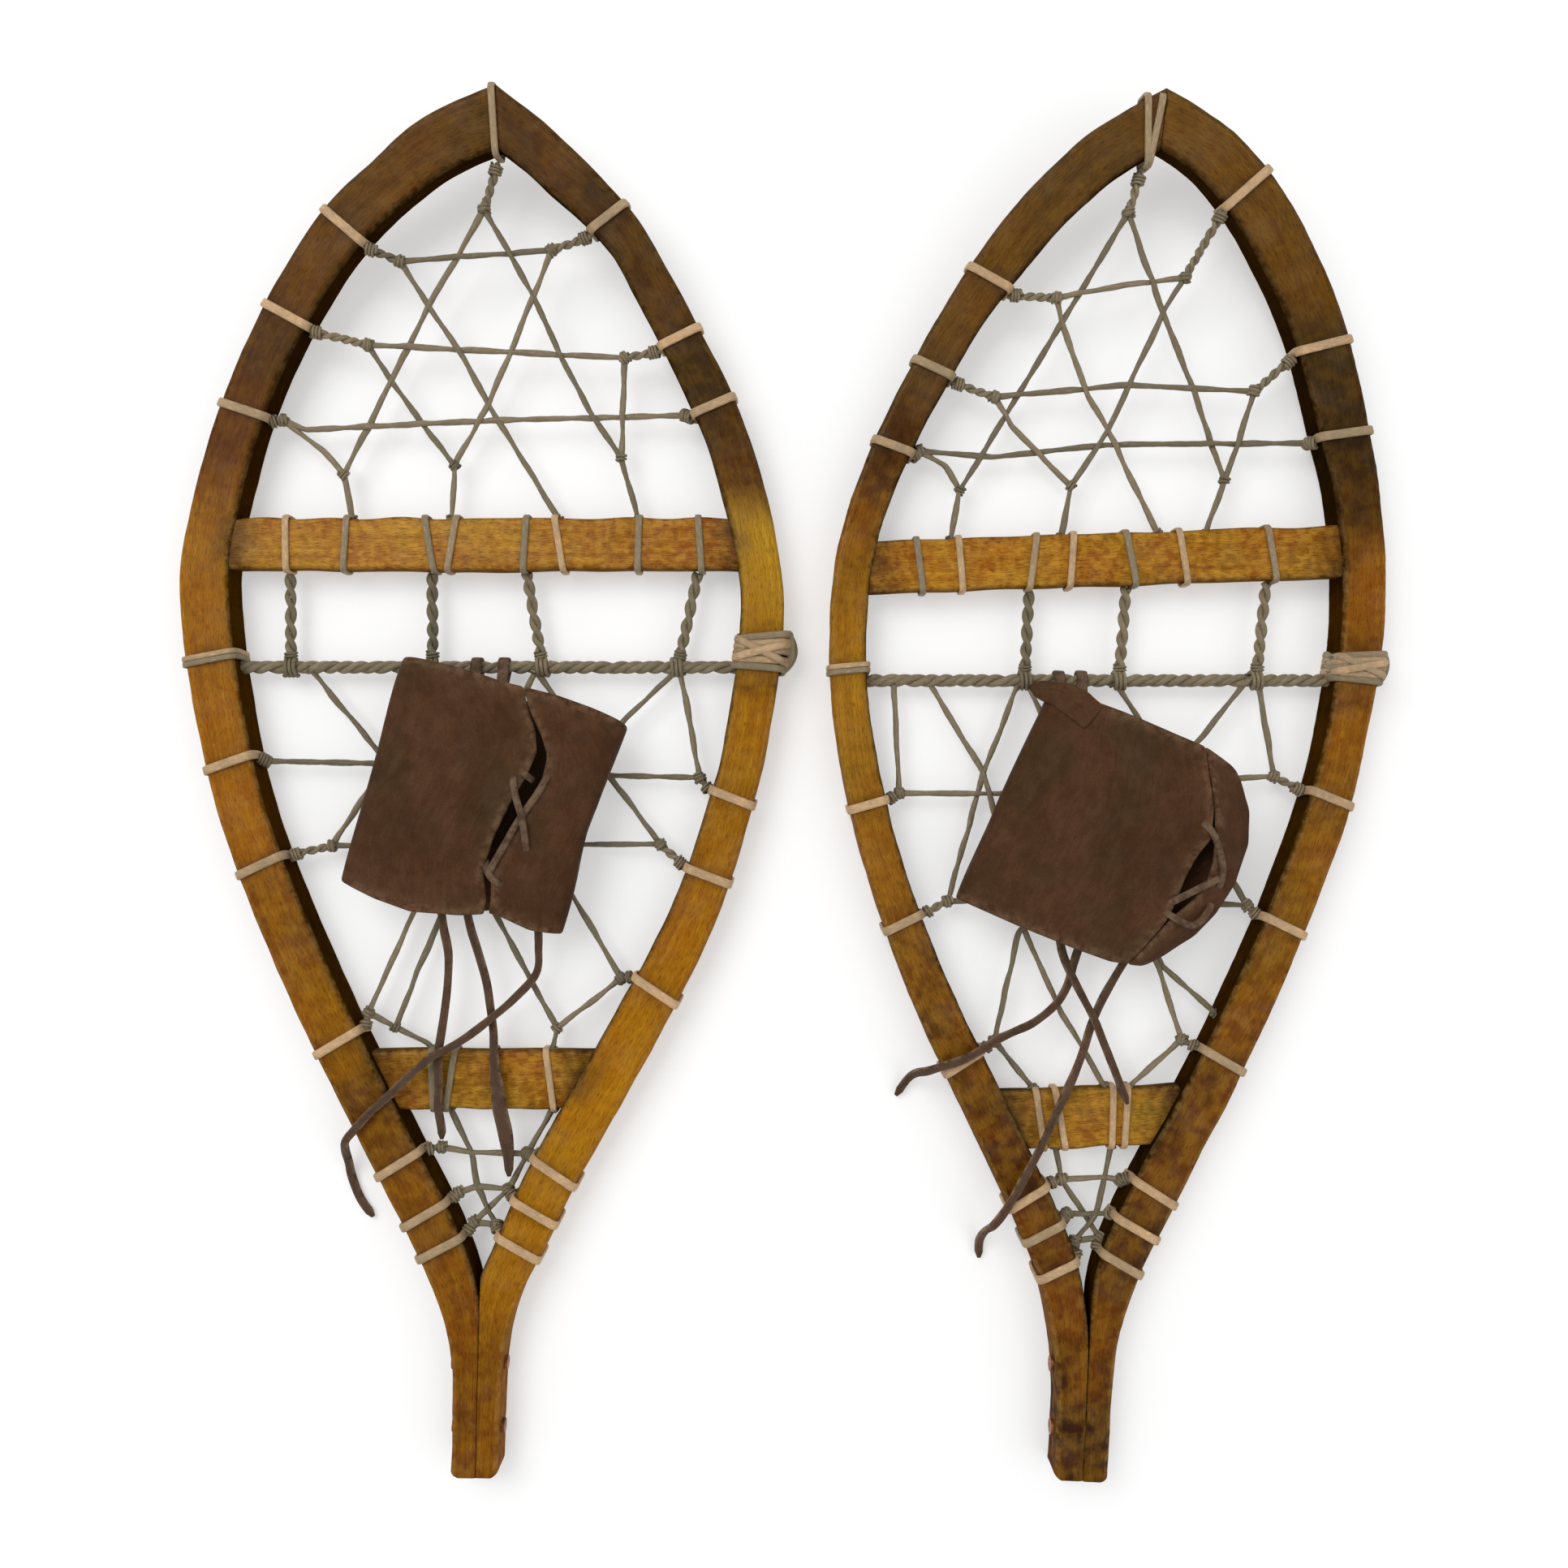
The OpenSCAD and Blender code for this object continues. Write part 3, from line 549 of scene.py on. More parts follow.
def twisted(path: np.ndarray, lay: Lay, seed: int, tone: float) -> list[Shell]:
    """Strands wound round a line: each follows the line at the lay's radius, at an angle
    that grows by one turn in each pitch.

    Args:
        path: (n, 3) points of the middle line.
        lay: how the strands are laid.
        seed: sets where the turns start and the unevenness.
        tone: the shade mark.
    Returns:
        One shell for each strand.
    """
    line = evenly(path, 0.0009)
    run = lengths(line)
    along = unit(np.gradient(line, axis=0))
    side = unit(np.cross(along, np.array([0.0, 0.0, 1.0])))
    up = np.cross(side, along)
    rng = np.random.default_rng(seed)
    start = rng.uniform(0, 2 * math.pi)
    shells = []
    for k in range(lay.strands):
        uneven = 0.08 * np.sin(run / lay.pitch * 2.3 + k)
        a = start + 2 * math.pi * (k / lay.strands + run / lay.pitch + uneven)
        offset = lay.radius * (np.cos(a)[:, None] * side + np.sin(a)[:, None] * up)
        girth = lay.diameter * (1 + 0.07 * ripple(line + k, 0.009, seed + k))
        shade = tone + rng.uniform(-0.12, 0.12)
        shells.append(cord_shell(line + offset, girth, sides=8, tone=shade))
    return shells


def ring_path(
    half_across: float, low: float, high: float, corner: float, spacing: float = 0.0007
) -> np.ndarray:
    """A closed rounded rectangle in the plane of x and z, by angle round its corners.

    Args:
        half_across: half its width along x.
        low: its lowest z.
        high: its highest z.
        corner: radius of its corners.
        spacing: distance between points.
    Returns:
        (n, 2) points [x, z], without the first again at the end.
    """
    a = np.linspace(0, math.pi / 2, 7)
    quarter = [(1, 1, 0), (-1, 1, 1), (-1, -1, 2), (1, -1, 3)]
    middle, half = (low + high) / 2, (high - low) / 2
    corner = min(corner, half_across * 0.98, half * 0.98)
    arcs = []
    for sx, sz, k in quarter:
        x = sx * (half_across - corner) + corner * np.cos(a + k * math.pi / 2)
        z = middle + sz * (half - corner) + corner * np.sin(a + k * math.pi / 2)
        arcs.append(np.stack([x, z], axis=1))
    points = np.vstack(arcs)
    closed = np.vstack([points, points[:1]])
    run = lengths(closed)
    count = int(run[-1] / spacing)
    return at_lengths(closed, run, np.linspace(0, run[-1], count, endpoint=False))


# ---------------------------------------------------------------- the two shoes' sizes


class Side(Enum):
    """The two rails of a shoe, by the sign of u."""

    MINUS = -1
    PLUS = 1


Hitch = tuple[int, float, tuple[float, float]]
Row = Sequence[tuple[float, float]]


@dataclass(frozen=True)
class SleevePlan:
    """Sizes of one leather sleeve, in millimetres in its own frame: x across, y to the toe.

    The outline gives, at rows of y, where its left and right sides are; the slit gives, at
    rows of y, its middle and its gap; the mouths give how far each end reaches, by x."""

    at: tuple[float, float]
    turn: float
    outline: Sequence[tuple[float, float, float]]
    slit: Sequence[tuple[float, float, float]]
    heel_mouth: Sequence[tuple[float, float]]
    toe_mouth: Sequence[tuple[float, float]]
    lip: float


@dataclass(frozen=True)
class ShoePlan:
    """Sizes of one shoe, in millimetres in its own frame.

    A rail's rows give the outside edge's u and v and the rail's width there. A bar is the v
    of its middle and its turn in degrees. A hitch is the rail's sign, the v of its wrap and
    the knot that its neck runs to. A net's rows are the points of its strands. A stay is
    its u at the toe bar and at the toe cord. A strand over the tip is how far it is moved
    across the shoe and how far it leans."""

    name: str
    tail: tuple[float, float]
    turn: float
    minus_rail: Sequence[tuple[float, float, float]]
    plus_rail: Sequence[tuple[float, float, float]]
    rail_names: dict[Side, str]
    shades: dict[Side, Sequence[tuple[float, Shade]]]
    toe_bar: tuple[float, float]
    heel_bar: tuple[float, float]
    toe_hitches: Sequence[Hitch]
    body_hitches: Sequence[Hitch]
    tail_hitches: Sequence[Hitch]
    tip_knot: tuple[float, float]
    tip_lashing_u: float
    tip_strands: Sequence[tuple[float, float]]
    toe_net: Sequence[Row]
    body_net: Sequence[Row]
    tail_net: Sequence[Row]
    toe_bar_wraps: Sequence[float]
    heel_bar_wraps: Sequence[float]
    stays: Sequence[tuple[float, float]]
    toe_cord_v: float
    toe_cord_rail_v: float
    knot_v: Sequence[float]
    sleeve: SleevePlan
    ties: Sequence[float]
    seed: int

    def place(self, points: np.ndarray) -> np.ndarray:
        """Points of the shoe's own frame carried into the shared frame: turned about z,
        then moved to where the tail's end lies.

        Args:
            points: (..., 3) in metres.
        Returns:
            The same points in the shared frame.
        """
        return turned(points, self.turn) + np.array([self.tail[0] * MM, self.tail[1] * MM, 0])

    def placed(self, shells: Iterable[Shell]) -> list[Shell]:
        """The shells carried into the shared frame.

        Args:
            shells: shells in the shoe's own frame.
        Returns:
            New shells.
        """
        return [Shell(self.place(s.rings), s.loop, s.marks, s.tint) for s in shells]


LEFT = ShoePlan(
    name="left",
    tail=(-136, -298.5),
    turn=-1.3,
    minus_rail=[
        (0, 600, 23.5), (-26.8, 589.4, 23), (-47.4, 574.9, 21.5), (-76.7, 548.5, 20.8),
        (-103, 509.4, 19.8), (-122.3, 467.7, 19.8), (-134.7, 425.3, 20.5), (-139.1, 389, 21.5),
        (-132.7, 340, 21.4), (-117.8, 282.7, 20.8), (-88.4, 212.6, 21), (-52.5, 143, 21),
        (-29.5, 100, 21), (-17, 72, 18), (-12, 50, 14), (-11, 25, 13), (-11, 0, 13),
    ],
    plus_rail=[
        (0, 600, 21), (16.7, 588.9, 20.4), (31.6, 576.8, 19.8), (57.9, 551.6, 18),
        (75, 525.9, 18), (104.3, 472.8, 18.8), (119, 430.3, 19), (126.6, 388, 19),
        (123.5, 345, 19), (116, 303, 19), (99, 245, 20.5), (72, 188, 22), (41, 130, 22),
        (28, 102, 21), (17.5, 80, 19), (11.5, 59, 15), (10, 35, 13), (9.5, 0, 13),
    ],
    rail_names={Side.MINUS: "left_outer_rail", Side.PLUS: "left_inner_rail"},
    shades={
        Side.MINUS: [
            (597, (94, 70, 31)), (540, (99, 67, 23)), (480, (86, 54, 13)), (440, (110, 63, 9)),
            (411, (150, 102, 16)), (350, (146, 98, 5)), (290, (152, 96, 8)), (245, (100, 64, 10)),
            (205, (134, 90, 12)), (160, (92, 58, 10)), (130, (115, 76, 20)), (60, (120, 72, 12)),
            (0, (97, 62, 18)),
        ],
        Side.PLUS: [
            (597, (92, 62, 30)), (540, (60, 45, 24)), (480, (68, 49, 19)), (440, (92, 62, 22)),
            (420, (186, 150, 50)), (350, (156, 114, 10)), (260, (146, 98, 14)), (200, (158, 108, 8)),
            (110, (172, 126, 18)), (50, (122, 78, 10)), (0, (97, 62, 18)),
        ],
    },
    toe_bar=(411, 1.3),
    heel_bar=(174, 1.3),
    toe_hitches=[
        (-1, 551, (-44, 532)), (-1, 512, (-59, 497)), (-1, 470, (-97, 464)),
        (1, 556, (22, 538)), (1, 506, (54, 494)), (1, 477, (81, 470)),
    ],
    body_hitches=[
        (-1, 309, (-102, 313)), (-1, 263, (-72, 276)), (-1, 185, (-54, 202)),
        (1, 299, (91, 310)), (1, 264, (74, 280)), (1, 211, (58, 220)),
    ],
    tail_hitches=[
        (-1, 132, (-20, 143)), (-1, 110, (-12, 123)), (-1, 96, (-5, 110)),
        (1, 130, (18, 141)), (1, 113, (10, 125)), (1, 97, (5, 109)),
    ],
    tip_knot=(-7, 554),
    tip_lashing_u=-1,
    tip_strands=[(0.0, 0.6)],
    toe_net=[
        [(-7, 554), (-32, 514), (-49, 482), (-70, 441), (-66, 421)],
        [(-7, 554), (14, 519), (26, 494), (38, 472), (53, 451), (61, 424)],
        [(-44, 532), (22, 538)],
        [(22, 538), (14, 519), (4, 496), (-6, 473), (-21, 446), (-22, 422)],
        [(-44, 532), (-32, 514), (-18, 494), (-6, 473), (26, 423)],
        [(-59, 497), (54, 494)],
        [(-59, 497), (-49, 482), (-37, 466), (-21, 446)],
        [(54, 494), (53, 451)],
        [(-97, 464), (-87, 460), (-4, 466), (81, 470)],
        [(-97, 464), (-79, 451), (-70, 441)],
    ],
    body_net=[
        [(-84, 355), (-52, 318), (1, 248), (18, 218), (30, 197), (28, 187)],
        [(79, 357), (57, 335), (-23, 246), (-42, 196), (-27, 189), (-25, 186)],
        [(81, 357), (91, 310)],
        [(-102, 313), (-52, 313), (49, 310), (91, 310)],
        [(17, 356), (52, 308), (74, 280)],
        [(-72, 276), (38, 279), (74, 280)],
        [(-72, 276), (-57, 300), (-29, 356)],
        [(-54, 202), (-35, 247), (17, 356)],
        [(-29, 356), (35, 257), (58, 220)],
        [(58, 220), (30, 197)],
        [(-54, 202), (-42, 196)],
    ],
    tail_net=[
        [(-20, 143), (-7, 141), (18, 141)],
        [(-12, 123), (-4, 126), (10, 125)],
        [(-5, 110), (5, 109)],
        [(-17, 161), (-7, 141), (-4, 126), (5, 109)],
        [(29, 162), (18, 141), (10, 125), (-5, 110)],
    ],
    toe_bar_wraps=(-93, -67, -30, -20, 12, 27, 62, 89),
    heel_bar_wraps=(-24, -16, 4, 28),
    stays=[(-93, -92), (-30, -29), (12, 20), (88, 80)],
    toe_cord_v=357,
    toe_cord_rail_v=356,
    knot_v=(345, 353, 361, 369),
    sleeve=SleevePlan(
        at=(-1.5, 298),
        turn=-15,
        outline=[
            (-56, -48.2, 47.3), (-46, -48.5, 47.4), (-23, -49.3, 47), (0, -49.6, 45.8),
            (21, -50, 47), (40, -50.1, 48.8), (54, -49.6, 49.8),
        ],
        slit=[
            (-56, 17, 2), (-43, 15.5, 1.6), (-30, 11.5, 3), (-15, 13, 6), (0, 16, 7.5),
            (14, 19.5, 6.5), (25, 20, 4.5), (34, 15.5, 1.8), (42, 9.5, 0.1), (54, 3, 0.05),
        ],
        heel_mouth=[
            (-50, -50.7), (-32, -53.5), (-15.6, -54.3), (5, -50), (19, -45), (35.7, -47.8),
            (50, -46.2),
        ],
        toe_mouth=[(-50, 52), (-19, 52.4), (-5, 51.7), (18, 52.7), (35, 52), (50, 50.8)],
        lip=2.2,
    ),
    ties=(-9, 3),
    seed=11,
)

RIGHT = ShoePlan(
    name="right",
    tail=(130.5, -300),
    turn=-2.9,
    minus_rail=[
        (0, 600.5, 21), (-18, 590.4, 21), (-37.2, 576.4, 21), (-62.4, 549.1, 20.8),
        (-88.4, 508.2, 18.5), (-114.5, 452, 17), (-127, 410, 16.5), (-129.5, 370, 16),
        (-125, 324, 16), (-110, 268, 16.5), (-87.5, 212, 17.5), (-59, 157, 19),
        (-36.5, 115, 19), (-23.5, 88, 18), (-16, 60, 16), (-13, 35, 14), (-12.5, 0, 14),
    ],
    plus_rail=[
        (0, 600.5, 22), (17.6, 592.7, 21.5), (36.6, 581.1, 22.5), (60.7, 556, 23.2),
        (83.9, 518, 22.8), (98.8, 477.6, 22), (109.4, 435.3, 19.5), (113.7, 386, 18.8),
        (108.8, 336, 18), (100.6, 293.3, 18.6), (81.8, 235.4, 18.8), (59, 177.8, 19.6),
        (32.8, 119.6, 20.6), (20.4, 90.6, 19), (13.8, 68, 15), (11.2, 45, 13), (11, 0, 13),
    ],
    rail_names={Side.MINUS: "right_inner_rail", Side.PLUS: "right_outer_rail"},
    shades={
        Side.MINUS: [
            (597, (100, 78, 52)), (530, (99, 73, 36)), (485, (104, 76, 46)), (455, (54, 32, 8)),
            (435, (70, 42, 12)), (406, (122, 82, 22)), (350, (164, 128, 36)), (300, (137, 100, 34)),
            (230, (92, 66, 30)), (150, (70, 36, 5)), (110, (74, 40, 7)), (60, (72, 40, 5)),
            (0, (48, 20, 4)),
        ],
        Side.PLUS: [
            (597, (116, 90, 52)), (530, (96, 70, 28)), (470, (42, 33, 17)), (430, (76, 50, 10)),
            (406, (128, 80, 16)), (350, (138, 88, 14)), (300, (120, 80, 20)), (240, (108, 74, 12)),
            (200, (84, 50, 9)), (150, (58, 31, 7)), (110, (72, 44, 14)), (60, (72, 41, 6)),
            (0, (48, 20, 4)),
        ],
    },
    toe_bar=(406.5, 4.8),
    heel_bar=(159, 4.8),
    toe_hitches=[
        (-1, 528, (-38, 518)), (-1, 488, (-62, 475)), (-1, 453, (-94, 450)),
        (1, 572, (17, 529)), (1, 506, (52, 483)), (1, 468, (78, 462)),
    ],
    body_hitches=[
        (-1, 290, (-95, 298)), (-1, 238, (-71, 251)), (-1, 177, (-47, 190)),
        (1, 303, (71, 314)), (1, 245, (62, 256)), (1, 184, (36, 195)),
    ],
    tail_hitches=[
        (-1, 119, (-14, 130)), (-1, 104, (-11, 115)), (-1, 89, (-7, 103)),
        (1, 124, (12, 131)), (1, 108, (8, 116)), (1, 93, (4, 105)),
    ],
    tip_knot=(-10, 554),
    tip_lashing_u=-6,
    tip_strands=[(-0.5, 1.5), (3.0, -1.5)],
    toe_net=[
        [(-10, 554), (-26, 524), (-35, 508), (-51, 478), (-66, 450), (-75, 434)],
        [(-10, 554), (9, 514), (25, 483), (42, 444), (35, 420)],
        [(-38, 518), (-8, 525), (17, 529)],
        [(17, 529), (9, 514), (-3, 483), (-11, 463), (-26, 438), (-29, 415)],
        [(-38, 518), (-35, 508), (-22, 479), (-11, 463), (14, 419)],
        [(-62, 475), (-33, 479), (-5, 483), (52, 483)],
        [(-62, 475), (-54, 463), (-26, 438)],
        [(52, 483), (46, 458), (42, 444)],
        [(-94, 450), (-61, 449), (-11, 457), (78, 462)],
        [(-94, 450), (-82, 444), (-75, 434), (-78, 411)],
    ],
    body_net=[
        [(-100, 348), (-95, 298)],
        [(-85, 349), (-58, 309), (-36, 239), (-18, 204), (-7, 188), (3, 172)],
        [(-44, 351), (-58, 309), (-71, 251)],
        [(-95, 298), (-51, 300), (71, 314)],
        [(-71, 251), (-10, 256), (62, 256)],
        [(-2, 353), (10, 336), (62, 256)],
        [(57, 356), (37, 328), (-39, 239), (-47, 190)],
        [(62, 356), (71, 314)],
        [(-41, 351), (24, 227), (36, 195)],
        [(12, 256), (26, 227), (51, 207)],
        [(-47, 190), (-29, 170)],
        [(36, 195), (13, 172)],
    ],
    tail_net=[
        [(-14, 130), (5, 132), (12, 131)],
        [(-11, 115), (8, 116)],
        [(-7, 103), (4, 105)],
        [(-18, 145), (-14, 130), (-4, 116), (4, 105)],
        [(7, 147), (5, 132), (2, 116), (-7, 103)],
    ],
    toe_bar_wraps=(-92, -74, -42, -25, 1, 24, 63),
    heel_bar_wraps=(-26, -17, 6, 12),
    stays=[(-42, -42), (1, 0), (63, 61)],
    toe_cord_v=353,
    toe_cord_rail_v=351,
    knot_v=(354, 362, 370),
    sleeve=SleevePlan(
        at=(-1, 289),
        turn=-20,
        outline=[
            (-58, -51.3, 12), (-54, -51.3, 27), (-48, -51.3, 39), (-38, -51.2, 48.5),
            (-25, -51.1, 53), (-6, -50.9, 56), (17, -49.6, 54.5), (32, -49, 49.5), (40, -49, 42),
            (47, -49, 26),
        ],
        slit=[
            (-58, 22, 0.1), (-40, 30, 0.1), (-30, 34, 0.8), (-20, 37.5, 6), (-10, 38.5, 9),
            (0, 38.5, 7), (9, 38, 1.5), (22, 33, 0.1), (34, 25, 0.05), (47, 16, 0.05),
        ],
        heel_mouth=[(-52, -56.6), (-25, -57), (2, -56.6), (18, -55.7), (32, -52), (45, -44), (58, -36)],
        toe_mouth=[(-52, 44), (-33, 45), (-10, 45.6), (20, 45.2), (36, 43), (45, 39), (58, 34)],
        lip=2.8,
    ),
    ties=(-27, -17),
    seed=37,
)


class RailLine:
    """The outside edge of one rail, smoothed as in the frame, and what is measured off it."""

    def __init__(self, plan: ShoePlan, side: Side) -> None:
        """Smooths the stations.

        Args:
            plan: the shoe.
            side: which rail.
        """
        self.plan, self.side = plan, side
        rows = plan.minus_rail if side is Side.MINUS else plan.plus_rail
        self.edge = smooth_curve(mm(rows), 4)
        self.fine = evenly(mm(rows), 0.0012, 16)
        self.run = lengths(self.fine[:, :2])

    def _at(self, v: float, column: int) -> float:
        """A column of the edge at v, by straight interpolation.

        Args:
            v: how far up the shoe.
            column: 0 for u, 2 for the width.
        Returns:
            The value.
        """
        order = np.argsort(self.edge[:, 1])
        return float(np.interp(v, self.edge[order, 1], self.edge[order, column]))

    def edge_v(self, u: float) -> float:
        """How far up the shoe the outside edge is at u, near the tip.

        Args:
            u: across the shoe.
        Returns:
            v there.
        """
        near_tip = self.edge[:9]
        if self.side is Side.MINUS:
            near_tip = near_tip[::-1]
        return float(np.interp(u, near_tip[:, 0], near_tip[:, 1]))

    def width(self, v: float) -> float:
        """The rail's width at the station v."""
        return self._at(v, 2)

    def inward(self, along: np.ndarray) -> np.ndarray:
        """The direction across the rail towards its inside: the heading turned a quarter.

        Args:
            along: headings from the tip to the tail, (..., 2).
        Returns:
            Unit vectors (..., 2).
        """
        turned = np.stack([-along[..., 1], along[..., 0]], axis=-1)
        return unit(turned if self.side is Side.MINUS else -turned)

    def across(self, v: float) -> np.ndarray:
        """The inward direction at the station v, from the edge 3 mm to either side."""
        du = self._at(v - 3 * MM, 0) - self._at(v + 3 * MM, 0)
        return self.inward(np.array([du, -6 * MM]))

    def middle(self, v: float) -> np.ndarray:
        """The middle of the rail across the station v."""
        return np.array([self._at(v, 0), v]) + self.width(v) / 2 * self.across(v)

    def run_at(self, v: float) -> float:
        """The distance along the outside edge at which it passes v."""
        order = np.argsort(self.fine[:, 1])
        return float(np.interp(v, self.fine[order, 1], self.run[order]))

    def at_wrap(
        self, v: float, flat: np.ndarray, lean: float = 0.0, shift: float | np.ndarray = 0.0
    ) -> np.ndarray:
        """Points of the plane across the rail at the station v, carried into the shoe's frame.

        Args:
            v: the station.
            flat: (n, 2) points [x towards the inside, z up from the underside].
            lean: how far the wrap runs along the rail from its outside to its inside.
            shift: how far the whole wrap is moved along the rail.
        Returns:
            (n, 3) points.
        """
        n, m = self.across(v), self.middle(v)
        heading = np.array([-n[1], n[0]])
        heading = heading * np.sign(heading[1])
        reach = self.width(v) / 2
        along = shift + lean * flat[:, 0] / reach * ease(flat[:, 1], 0.004, 0.014)
        plan_point = m + flat[:, :1] * n + along[:, None] * heading
        z = rise(m[1]) + flat[:, 1] + lift_slope(m[1]) * (plan_point[:, 1] - m[1])
        forward = lean_back(m[1], rail_height(m[1]) - flat[:, 1])
        return np.stack([plan_point[:, 0], plan_point[:, 1] + forward, z], axis=1)


# Marks of the wood: its upper edges (rubbed paler, and at the toe painted darker as shade), its side faces
# (painted near black as shade), its upturned toe (painted darker as shade) and its stains.
EDGE_WEAR, SIDE_SHADE, TOE_SHADE, STAIN = "wear", "inner", "toe", "stain"
WOOD_MARKS = (EDGE_WEAR, SIDE_SHADE, TOE_SHADE, STAIN)


def rounded_profile(arc: int, across: int, up: int) -> tuple[np.ndarray, np.ndarray]:
    """A rounded rectangle as corner shares and outward directions: a point is its share
    (-1 to 1) of the half size less the corner radius, plus the radius times its direction.

    Args:
        arc: points in each corner.
        across: points between the corners of the top and the underside.
        up: points between the corners of the sides.
    Returns:
        (m, 2) shares and (m, 2) directions.
    """
    shares, directions = [], []
    corners = [(1, 1), (-1, 1), (-1, -1), (1, -1)]
    for k, corner in enumerate(corners):
        a = np.linspace(0, math.pi / 2, arc) + k * math.pi / 2
        shares.append(np.broadcast_to(np.array(corner, float), (arc, 2)))
        directions.append(np.stack([np.cos(a), np.sin(a)], axis=1))
        count = across if k % 2 == 0 else up
        t = (np.arange(1, count + 1) / (count + 1))[:, None]
        after = np.array(corners[(k + 1) % 4], float)
        shares.append(np.array(corner) * (1 - t) + after * t)
        a = (k + 1) * math.pi / 2
        directions.append(np.broadcast_to([math.cos(a), math.sin(a)], (count, 2)))
    return np.vstack(shares), np.vstack(directions)


def upper_edges(out: np.ndarray) -> np.ndarray:
    """1 on the rounded edges of a profile's top, 0 elsewhere, by its outward directions."""
    return ((np.abs(out[:, 0]) > 0.25) & (out[:, 1] > 0.25)).astype(float)


@dataclass
class Rail:
    """One bent stave of a shoe, from the tip to the tail's end.

    The corner is the radius of its long edges; the notches in its underside hold a hitch,
    the toe cord's turns or the knot's; the end's rounding is how far the tail's end is drawn
    in; the seam is half the gap between the two rails where they meet."""

    plan: ShoePlan
    side: Side
    corner: float = 0.0024
    notch_depth: float = 0.00195
    notch_half: float = 0.0021
    cord_notch_half: float = 0.0028
    knot_notch_half: float = 0.0041
    notch_slope: float = 0.0003
    spacing: float = 0.002
    end_reach: float = 0.002
    end_rounding: float = 0.0016
    tail_bevel: float = 0.003
    seam: float = 0.0001
    roughness: float = 0.00022

    def notches(self, line: RailLine) -> list[tuple[float, float]]:
        """Where wraps lie in the underside.

        Args:
            line: the rail's edge.
        Returns:
            [distance along the edge, half width] of each.
        """
        hitches = (*self.plan.toe_hitches, *self.plan.body_hitches, *self.plan.tail_hitches)
        found = [(v, self.notch_half) for side, v, _ in hitches if side == self.side.value]
        if self.side is Side.MINUS:
            found.append((self.plan.toe_cord_rail_v, self.cord_notch_half))
        else:
            found += [(v, self.knot_notch_half) for v in self.plan.knot_v[-3:]]
        return [(line.run_at(v * MM), half) for v, half in found]

    def stations(self, line: RailLine, notches: Sequence[tuple[float, float]]) -> np.ndarray:
        """Distances along the edge at which it has a ring: every 2 mm, and close together
        where a notch begins and ends and at the tail's rounded end.

        Args:
            line: the rail's edge.
            notches: where its notches are, and their half widths.
        Returns:
            The distances.
        """
        total = line.run[-1]
        slope = self.notch_slope
        extra = [s + k * h + d for s, h in notches for k in (-1, 1) for d in (-slope, slope)]
        end = total - self.end_reach * (1 - np.cos(np.linspace(0, math.pi / 2, 6)))
        where = np.concatenate([np.linspace(0, total, int(total / self.spacing)), extra, end])
        return np.unique(np.round(np.clip(where, 0, total), 5))

    def shell(self) -> Shell:
        """The stave's skin: the rounded profile across the edge line at each station, its
        underside lifted over each notch, pressed flat on the shoe's middle plane, with a
        slow hand-cut unevenness of a quarter of a millimetre.

        Returns:
            The shell in the shoe's own frame.
        """
        line = RailLine(self.plan, self.side)
        notches = self.notches(line)
        where = self.stations(line, notches)
        row = at_lengths(line.fine, line.run, where)
        along = at_lengths(unit(np.gradient(line.fine[:, :2], line.run, axis=0)), line.run, where)
        inward = line.inward(along)
        share, out = rounded_profile(5, 9, 5)
        width = row[:, 2:3]
        left = np.clip((where[-1] - where)[:, None], 0, self.end_reach) / self.end_reach
        inset = self.end_rounding * (1 - np.sqrt(np.clip(1 - (1 - left) ** 2, 0, 1)))
        r = self.corner
        x = share[:, 0] * (width / 2 - r - inset) + out[:, 0] * r
        spot = row[:, None, :2] + (width[..., None] / 2 + x[..., None]) * inward[:, None, :]
        height = rail_height(spot[..., 1])
        y = share[:, 1] * (height / 2 - r - inset) + out[:, 1] * r + height / 2
        skin = np.concatenate([spot, y[..., None]], axis=2)
        rough = ripple(skin, 0.03, self.plan.seed + self.side.value)
        fine = ripple(skin, 0.008, self.plan.seed + 5)
        y = y + self.roughness * (rough + 0.35 * fine) * np.maximum(out[:, 1], 0)
        spot = spot + (0.00025 * (rough + 0.3 * fine) * out[:, 0])[..., None] * inward[:, None, :]
        cut = np.zeros(len(where))
        for s, half in notches:
            cut = np.maximum(cut, ease(half - np.abs(where - s), -self.notch_slope, self.notch_slope))
        y = np.maximum(y, self.notch_depth * cut[:, None])
        sign = self.side.value
        pressed = spot[..., 0] * sign < self.seam
        u = np.where(pressed, self.seam * sign, spot[..., 0])
        v = spot[..., 1]
        y = np.where(pressed & (y > height - 0.001), y - 0.0005, y)
        tail_half = abs(line.fine[-1, 0])
        corner_cut = 0.9 * (np.abs(u) - tail_half + self.tail_bevel)
        v = np.where(v < 0.01, np.maximum(v, corner_cut), v)
        rings = np.stack([u, v + lean_back(v, height - y), rise(v) + y], axis=2)
        toe_from = self.plan.toe_bar[0] * MM + (0.008 if self.side is Side.MINUS else -0.004)
        marks = {
            EDGE_WEAR: upper_edges(out) * np.ones_like(u),
            # Painted shade: the rail's inside face is painted near black, and its upturned toe darker.
            SIDE_SHADE: np.clip(out[:, 0], 0, 1) * np.ones_like(u),
            TOE_SHADE: ease(v, toe_from, toe_from + 0.034),
            STAIN: self.stains(v, where, notches, np.clip(x / (width / 2), 0, 1)),
        }
        return Shell(rings, False, marks, shade_along(self.plan.shades[self.side], v))

